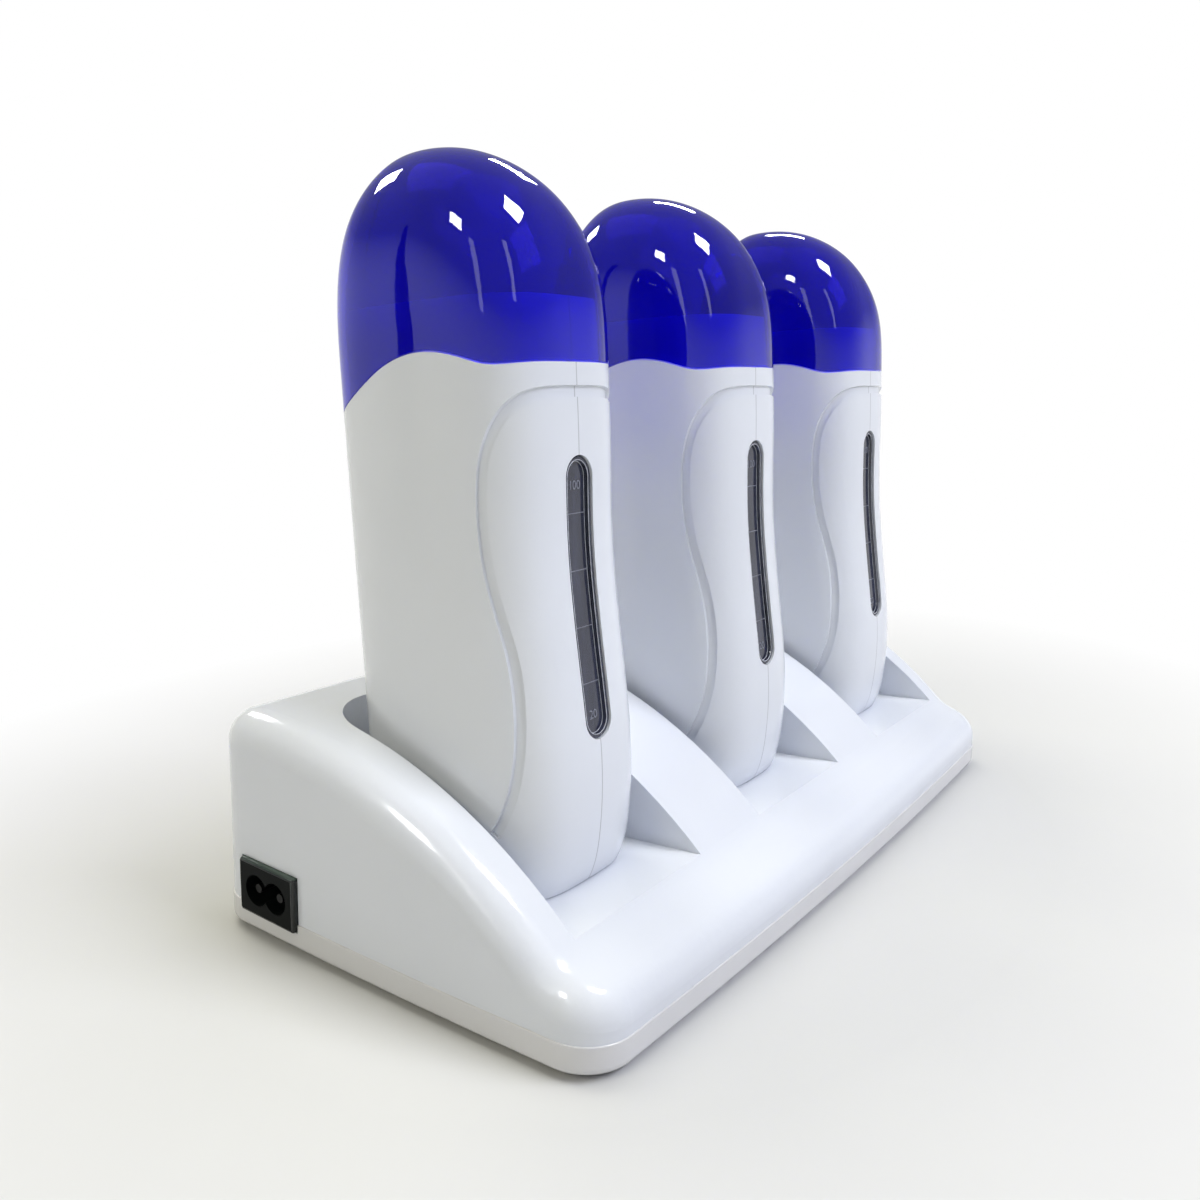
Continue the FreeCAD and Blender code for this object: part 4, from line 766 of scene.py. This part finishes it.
class WAX_OT_windows(bpy.types.Operator):
    """Give each level window its frame, its pane, its level marks and its figures"""

    bl_idname = "wax_heater.windows"
    bl_label = "Level Windows"

    # The rounding of the frame's edges, the slope of its wall, and how far a point keeps from an edge of the
    # lens so that a ray meets the right face
    EDGE, SLOPE, CLEAR = 0.14 * MM, 0.12 * MM, 0.02 * MM
    # How far inside the frame's inner edge its two pale beads lie, which are painted highlight lines
    UPPER_BEAD, LOWER_BEAD = -0.06 * MM, 0.2 * MM
    # The room between the frame and the ends of a mark
    MARK_ROOM = 0.3 * MM
    # Each figure, its name, and its place in steps between marks, from the upper end if that is negative
    FIGURES = (("100", "top", -0.52), ("20", "low", 0.42))

    def execute(self, context):
        smoke = smoked_window("window_smoke", colours().window)
        mark_material = etched_marks("window_marks", colours().marks)
        highlight_material = painted_highlight_plastic("window_edge", colours().edge)
        copies, beads = scatter_tree("level_marks"), bead_tree("window_beads")
        for number in HANDSETS:
            lens = LensSurface(number)
            self.pane(number, lens, smoke)
            self.edges(number, lens, beads, highlight_material)
            self.marks(number, lens, copies, mark_material)
            self.figures(number, lens, mark_material)
        return {"FINISHED"}

    def pane(self, number, lens, material):
        """The lens as a frame round a sunken pane, with its flange behind the shells' wall."""
        size = sizes()
        inner, deep = size.frame_width, size.frame_depth
        edge, clear = self.EDGE, self.CLEAR
        foot = inner + self.SLOPE
        thick = LENS_STEP + FLANGE_THICK
        flange_edge = -FLANGE_MARGIN + clear
        front = [(flange_edge, -FLANGE_THICK), (flange_edge, 0.0), (-2 * clear, 0.0), (clear, -edge),
                 (clear + edge, 0.0), (inner - edge, 0.0), (inner - edge * 0.3, -edge * 0.3),
                 (inner, -edge), (foot, edge - deep), (foot + edge * 0.3, edge * 0.3 - deep),
                 (foot + edge, -deep)]
        middle = [(inset * MM, -deep) for inset in (2.0, 2.8, 3.7, 4.5)] + [(lens.half, -deep)]
        back = [(lens.half, -thick)] + [(inset * MM, -thick) for inset in (3.7, 2.0, 0.3)]
        loops = [lens.loop(inset, lift) for inset, lift in back + front + middle]
        count = len(loops[0])
        faces = []
        for ring in range(len(loops) - 1):
            near, far = ring * count, (ring + 1) * count
            for n in range(count):
                m = (n + 1) % count
                faces.append((near + n, near + m, far + m, far + n))
        form = bmesh.new()
        form.from_mesh(mesh_from("pane", [p for loop in loops for p in loop], (), faces))
        bmesh.ops.remove_doubles(form, verts=form.verts, dist=0.001 * MM)
        bmesh.ops.dissolve_degenerate(form, edges=form.edges, dist=0.0005 * MM)
        bmesh.ops.recalc_face_normals(form, faces=form.faces)
        mesh = mesh_of(form, "window_lens_%d" % number)
        piece = new_object("window_lens_%d" % number, mesh, material)
        finish_piece(piece, "handset_%d" % number)
        mesh.set_sharp_from_angle(angle=math.radians(50))
        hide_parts("handset_%d_window" % number)

    def edges(self, number, lens, nodes, material):
        """Fine pale beads along the frame's inner edge and along the foot of its wall, as painted highlight
        lines.
        """
        size = sizes()
        inner, deep = size.frame_width, size.frame_depth
        points, lines = [], []
        for inset, lift in ((inner + self.UPPER_BEAD, 0.0), (inner + self.LOWER_BEAD, -deep)):
            loop = lens.loop(inset, lift)
            first, count = len(points), len(loop)
            points += loop
            lines += [(first + n, first + (n + 1) % count) for n in range(count)]
        beads = through("window_edges_%d" % number, mesh_from("edge_lines", points, lines), nodes, {
            "Radius": size.edge_radius, "Material": material})
        finish_piece(beads, "handset_%d" % number)

    @staticmethod
    def spacing(lens):
        """The step from one level mark to the next, and where marks lie from the lens's face."""
        size = sizes()
        return (lens.high - lens.low) / (size.mark_count + 1), size.mark_thickness * 0.2 - size.frame_depth

    def marks(self, number, lens, nodes, material):
        """Level marks across the pane."""
        size = sizes()
        half = lens.half - size.frame_width - self.MARK_ROOM
        step, lift = self.spacing(lens)
        bar = new_object("mark_bar", self.bar_mesh(half, size.mark_height / 2, size.mark_thickness / 2))
        spots = []
        for row in range(size.mark_count):
            spot, normal = lens.at(0.0, lens.low + step * (row + 1), lift)
            turn = lens.place.to_3x3() @ Vector((1.0, 0.0, 0.0))
            out = lens.place.to_3x3() @ normal
            up = out.cross(turn) * -1.0
            basis = Matrix((turn, out * -1.0, up)).transposed()
            spots.append((lens.place @ spot, basis.to_euler()))
        marks = through("window_marks_%d" % number, places_mesh("mark_places", spots), nodes, {
            "Pattern": bar, "Material": material})
        bpy.data.objects.remove(bar)
        finish_piece(marks, "handset_%d" % number)

    @staticmethod
    def bar_mesh(half, tall, deep):
        """A bar with rounded long edges, across the window."""
        form = bmesh.new()
        bmesh.ops.create_cube(form, size=2.0, matrix=Matrix.Diagonal((half, deep, tall, 1.0)))
        bmesh.ops.bevel(form, geom=list(form.edges), offset=min(tall, deep) * 0.6, segments=2,
                        affect="EDGES", profile=0.5)
        return mesh_of(form, "mark_bar")

    def figures(self, number, lens, material):
        """A figure above the highest mark and one below the lowest."""
        size = sizes()
        step, lift = self.spacing(lens)
        for text, name, share in self.FIGURES:
            up = (lens.high if share < 0 else lens.low) + step * share
            curve = bpy.data.curves.new("figure", "FONT")
            curve.body, curve.size, curve.extrude = text, size.number_height, size.mark_thickness / 2
            curve.align_x, curve.align_y, curve.resolution_u = "CENTER", "CENTER", 4
            drawn = bpy.data.objects.new("figure", curve)
            bpy.context.scene.collection.objects.link(drawn)
            mesh = evaluated_mesh(drawn)
            bpy.data.objects.remove(drawn)
            spot, normal = lens.at(0.0, up, lift)
            across = Vector((1.0, 0.0, 0.0))
            basis = Matrix((across, normal.cross(across), normal)).transposed().to_4x4()
            mesh.transform(lens.place @ Matrix.Translation(spot) @ basis)
            mesh.materials.clear()
            piece = new_object("window_figure_%s_%d" % (name, number), mesh, material)
            finish_piece(piece, "handset_%d" % number, smooth=False)


class WAX_OT_screws(bpy.types.Operator):
    """Replace the plain screws by ones with a cross recess and a thread"""

    bl_idname = "wax_heater.screws"
    bl_label = "Screws"

    def execute(self, context):
        steel = plain_metal("screw_steel", colours().steel, 0.28, (1.0, 1.0, 0.2))
        nodes = scatter_tree("screw_set")
        sets = [("base_screws", "base", Vector((0.0, 0.0, 1.0)))]
        sets += [("handset_%d_screws" % n, "handset_%d" % n, Vector((-1.0, 0.0, 0.0))) for n in HANDSETS]
        for node, body, direction in sets:
            spots, measure = screw_places(node, direction)
            pattern = screw_pattern(node + "_pattern", *measure)
            piece = through(node + "_cut", places_mesh("screw_places", spots), nodes, {
                "Pattern": pattern, "Material": steel})
            bpy.data.objects.remove(pattern)
            piece.data.set_sharp_from_angle(angle=math.radians(40))
            finish_piece(piece, body)
            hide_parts(node)
        return {"FINISHED"}


class WAX_OT_electrics(bpy.types.Operator):
    """Finish the inlet, plugs, contacts, wires and the heating parts"""

    bl_idname = "wax_heater.electrics"
    bl_label = "Electrics"

    def execute(self, context):
        tint = colours()
        self.inlet(tint.socket)
        give(grained_plastic("socket_black", tint.socket, 0.30, 0.07), *each("handset_%d_socket"))
        give(grained_plastic("plug_black", shade(tint.socket, 1.4), 0.5), *each("dock_plug_%d"))
        brass = plain_metal("contact_brass", tint.brass, 0.22, (1.0, 1.0, 0.1))
        give(brass, *each("dock_contacts_%d"), *each("handset_%d_socket_pins"))
        # The pins' near-black nickel is painted shade of their deep holes
        give(plain_metal("pin_nickel", tint.nickel, 0.4, (0.1, 1.0, 1.0)), "inlet_pins")
        aluminium = plain_metal("liner_aluminium", tint.liner, 0.34, (1.0, 1.0, 0.04))
        give(aluminium, *each("handset_%d_heat_liner"))
        give(amber_film("heater_film", tint.film), *each("handset_%d_heater_plate"))
        give(plain_metal("fuse_steel", tint.steel, 0.2, (1.0, 0.1, 1.0)), *each("handset_%d_thermal_fuse"))
        give(wire_sheath("wire_blue", tint.neutral), "front_wires")
        give(wire_sheath("wire_brown", tint.live), "back_wires")
        give(wire_sheath("lead_white", tint.lead), *each("handset_%d_leads"))
        return {"FINISHED"}

    @staticmethod
    def inlet(tint):
        """The mains inlet with its flange's chamfer turned into a round."""
        form = bmesh.new()
        form.from_mesh(NODES["power_inlet"].data)
        bmesh.ops.remove_doubles(form, verts=form.verts, dist=WELD)
        bmesh.ops.dissolve_limit(form, angle_limit=math.radians(0.5), verts=form.verts, edges=form.edges)
        low = [min(v.co[axis] for v in form.verts) for axis in range(3)]
        high = [max(v.co[axis] for v in form.verts) for axis in range(3)]
        face, near, size = low[0], 0.01 * MM, INLET_CHAMFER

        def outward(spot):
            """The step in Y and Z from the flat of the face to a point."""
            flat = [min(max(spot[axis], low[axis] + size), high[axis] - size) for axis in (1, 2)]
            return Vector((0.0, spot.y - flat[0], spot.z - flat[1]))

        def slanted(edge):
            """Whether an edge runs up the chamfer."""
            front, back = sorted(edge.verts, key=lambda v: v.co.x)
            return (front.co.x < face + near and abs(back.co.x - face - size) < near
                    and outward(back.co).length > near)

        bmesh.ops.subdivide_edges(form, edges=[e for e in form.edges if slanted(e)], cuts=5,
                                  use_grid_fill=True)
        for vert in form.verts:
            step = outward(vert.co)
            if face + near < vert.co.x < face + size - near and step.length > near:
                turn = step.length / size
                flat = vert.co - step
                reach = step.normalized() * size * math.sin(turn * math.pi / 2)
                vert.co = Vector((face + size * (1 - math.cos(turn * math.pi / 2)), flat.y, flat.z)) + reach
        bmesh.ops.triangulate(form, faces=form.faces)
        mesh = mesh_of(form, "inlet_rounded")
        middle = [(low[axis] + high[axis]) / 2 for axis in (1, 2)]
        half = [(high[axis] - low[axis]) / 2 - size for axis in (1, 2)]
        piece = new_object("inlet_rounded", mesh, rimmed_plastic("inlet_black", tint, middle, half))
        finish_piece(piece, "base")
        mesh.set_sharp_from_angle(angle=math.radians(25))
        for edge in mesh.edges:
            if all(mesh.vertices[n].co.x < face + near for n in edge.vertices):
                edge.use_edge_sharp = True
        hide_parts("power_inlet")


class WAX_OT_stage(bpy.types.Operator):
    """Build the floor, the backdrop light, the lamps and the camera"""

    bl_idname = "wax_heater.stage"
    bl_label = "Stage"

    # Small bright panels that only gloss shows: name, azimuth, rise, distance, width, height, radiance
    PANELS = (
        ("panel_back", 173.0, 37.0, 2.3, 0.38, 0.32, 45.0),
        ("panel_right", 117.0, 39.0, 2.3, 0.54, 0.20, 45.0),
        ("panel_front", 42.0, 64.0, 1.75, 0.40, 0.42, 45.0),
        ("panel_left", -98.0, 44.0, 2.2, 0.36, 0.42, 35.0),
        ("strip_left", -82.0, 25.0, 1.3, 0.13, 0.62, 2.2),
        ("strip_front", -24.0, 36.0, 1.3, 0.13, 0.72, 2.6),
    )
    # Large soft lamps that gloss doesn't show: the same, and a tint
    SOFT_LAMPS = (
        ("soft_top", 60.0, 78.0, 2.0, 1.5, 1.5, 2.5, (0.98, 1.0, 0.90)),
        ("soft_front", 20.0, 45.0, 2.5, 1.4, 1.0, 10.0, (0.88, 0.90, 1.0)),
        ("soft_left", -100.0, 38.0, 2.5, 1.4, 1.0, 3.85, (1.0, 0.96, 0.74)),
        ("soft_back", 180.0, 60.0, 2.3, 1.4, 1.2, 5.0, (1.0, 0.97, 0.80)),
    )
    # A narrow dark card that only gloss shows: its foot, width and height
    CARD = ((-0.465, 0.370), 0.017, 0.36)
    # What the lamps face; the radii of the floor's rings and the steps round them
    AIM = Vector((-0.05, 0.0, 0.1))
    RINGS, RING_STEPS = (0.0, 0.25, 0.6, 1.2, 2.5, 6.0), 48
    # The distances over which the floor turns white, in a space stretched by these factors
    WHITENING, STRETCH = (0.17, 0.40), (1.0, 1.45, 1.0)
    # The rises over which the white horizon fades, for mirrored rays and for rays through clear plastic
    MIRRORED_FADE, PASSED_FADE = (0.05, 0.25), (0.10, 0.30)

    def execute(self, context):
        context.scene.view_settings.view_transform = "Standard"
        self.floor()
        self.world()
        for name, *place, radiance in self.PANELS:
            panel = self.lamp(name, *place, radiance, (1.0, 1.0, 1.0))
            panel.visible_diffuse = panel.visible_transmission = False
        for lamp in self.SOFT_LAMPS:
            self.lamp(*lamp).visible_glossy = False
        self.card(*self.CARD)
        self.camera()
        return {"FINISHED"}

    def floor(self):
        """A round floor on the part's lowest plane."""
        profile = [(radius, CAD_BOX[0].z) for radius in self.RINGS]
        floor = new_object("floor", revolved("floor", profile, self.RING_STEPS), self.floor_paint())

    def floor_paint(self):
        """Pale floor that keeps the shadow near the part and turns to plain white further out."""
        tint = bpy.context.scene.wax_heater_stage.floor
        paint = new_paint("floor_pale")
        spot = paint.place(self.STRETCH)
        far = paint.node("ShaderNodeVectorMath", {"operation": "LENGTH"}, {0: spot}, output="Value")
        share = paint.span(far, 0.0, 1.0, *self.WHITENING)
        straight, mirrored, passed = self.rays(paint)
        seen = paint.maths("MAXIMUM", straight, paint.maths("MAXIMUM", mirrored, passed))
        grain = paint.noise(60.0, 3.0)
        pale = paint.mix(grain * 0.5, tint, shade(tint, 1.02))
        matt = paint.node("ShaderNodeBsdfDiffuse", inputs={"Color": pale})
        white = paint.node("ShaderNodeEmission", inputs={"Color": (1.0, 1.0, 1.0, 1.0), "Strength": 1.0})
        return paint.end(paint.node("ShaderNodeMixShader", inputs={0: share * seen, 1: matt, 2: white}))

    @staticmethod
    def rays(paint):
        """1 for rays straight from the camera, for mirrored rays and for rays through clear plastic."""
        straight = paint.node("ShaderNodeLightPath", output="Is Camera Ray")
        outputs = straight.socket.node.outputs
        return straight, *(Signal(paint, outputs[name]) for name in ("Is Glossy Ray", "Is Transmission Ray"))

    def world(self):
        """White where it is seen near the horizon, and a dimmer room that lights the part."""
        stage = bpy.context.scene.wax_heater_stage
        world = bpy.data.worlds.new("studio")
        bpy.context.scene.world = world
        paint = Paint(world)
        way = paint.node("ShaderNodeTexCoord", output="Generated")
        rise = paint.node("ShaderNodeSeparateXYZ", inputs={0: way}, output="Z")
        straight, mirrored, passed = self.rays(paint)
        horizon = paint.maths("MAXIMUM", mirrored * paint.span(rise, 1.0, 0.0, *self.MIRRORED_FADE),
                              passed * paint.span(rise, 1.0, 0.0, *self.PASSED_FADE))
        room = paint.mix(mirrored, stage.room, stage.shine)
        tone = paint.mix(paint.maths("MAXIMUM", straight, horizon), room, (1.0, 1.0, 1.0))
        back = paint.node("ShaderNodeBackground", inputs={"Color": tone, "Strength": 1.0})
        paint.node("ShaderNodeOutputWorld", inputs={"Surface": back})

    def lamp(self, name, azimuth, rise, distance, width, height, radiance, tint):
        """An area lamp that faces the part; azimuth turns from the front towards +X."""
        light = bpy.data.lights.new(name, "AREA")
        light.shape, light.size, light.size_y = "RECTANGLE", width, height
        light.energy = radiance * math.pi * width * height
        light.color = tint
        a, e = math.radians(azimuth), math.radians(rise)
        way = Vector((math.sin(a) * math.cos(e), -math.cos(a) * math.cos(e), math.sin(e)))
        lamp = bpy.data.objects.new(name, light)
        lamp.location = self.AIM + way * distance
        lamp.rotation_euler = (way * -1.0).to_track_quat("-Z", "Y").to_euler()
        lamp.visible_camera = False
        bpy.context.scene.collection.objects.link(lamp)
        return lamp

    @staticmethod
    def card(spot, width, height):
        """A black card that faces the part and draws a dark line down its polished sides."""
        foot = Vector((*spot, CAD_BOX[0].z + 2.0 * MM))
        across = Vector((-foot.y, foot.x, 0.0)).normalized() * width / 2
        up = Vector((0.0, 0.0, height))
        corners = [foot - across, foot + across, foot + across + up, foot - across + up]
        paint = new_paint("card_black")
        felt = paint.mix(paint.noise(400.0, 3.0), (0.002, 0.002, 0.002), (0.006, 0.006, 0.006))
        black = paint.principled(Base_Color=felt, Roughness=0.9)
        card = new_object("dark_card", mesh_from("dark_card", corners, (), [(0, 1, 2, 3)]), black)
        card.visible_camera = card.visible_diffuse = False
        card.visible_transmission = card.visible_shadow = False

    @staticmethod
    def camera():
        """The camera, from its place and three turns."""
        stage = bpy.context.scene.wax_heater_stage
        data = bpy.data.cameras.new("camera")
        data.lens, data.sensor_width, data.clip_start = stage.lens, 36.0, 0.01
        camera = bpy.data.objects.new("camera", data)
        turn = Matrix.Rotation(stage.heading, 4, "Z") @ Matrix.Rotation(math.pi / 2 + stage.pitch, 4, "X")
        turn = turn @ Matrix.Rotation(stage.roll, 4, "Z")
        camera.matrix_world = Matrix.Translation(stage.camera_place) @ turn
        bpy.context.scene.collection.objects.link(camera)
        bpy.context.scene.camera = camera


class WAX_PT_panel(bpy.types.Panel):
    """The operators and their settings in the sidebar"""

    bl_idname = "WAX_PT_panel"
    bl_label = "Wax Heater"
    bl_space_type = "VIEW_3D"
    bl_region_type = "UI"
    bl_category = "Wax Heater"

    def draw(self, context):
        for operator in OPERATORS:
            self.layout.operator(operator.bl_idname)
        for group in ("wax_heater_colours", "wax_heater_sizes", "wax_heater_stage"):
            settings = getattr(context.scene, group)
            box = self.layout.box()
            for name in type(settings).__annotations__:
                box.prop(settings, name)


OPERATORS = (WAX_OT_casings, WAX_OT_caps, WAX_OT_windows, WAX_OT_screws, WAX_OT_electrics, WAX_OT_stage)
GROUPS = {"wax_heater_colours": WaxHeaterColours, "wax_heater_sizes": WaxHeaterSizes,
          "wax_heater_stage": WaxHeaterStage}


def register():
    """Registers the settings, the operators and the panel."""
    for name, group in GROUPS.items():
        bpy.utils.register_class(group)
        setattr(bpy.types.Scene, name, PointerProperty(type=group))
    for item in (*OPERATORS, WAX_PT_panel):
        bpy.utils.register_class(item)


def unregister():
    """Takes away what register added."""
    for item in reversed((*OPERATORS, WAX_PT_panel)):
        bpy.utils.unregister_class(item)
    for name, group in GROUPS.items():
        delattr(bpy.types.Scene, name)
        bpy.utils.unregister_class(group)


def main():
    """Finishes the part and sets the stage."""
    register()
    bpy.ops.wax_heater.casings()
    bpy.ops.wax_heater.caps()
    bpy.ops.wax_heater.windows()
    bpy.ops.wax_heater.screws()
    bpy.ops.wax_heater.electrics()
    bpy.ops.wax_heater.stage()


if __name__ == "__main__":
    main()
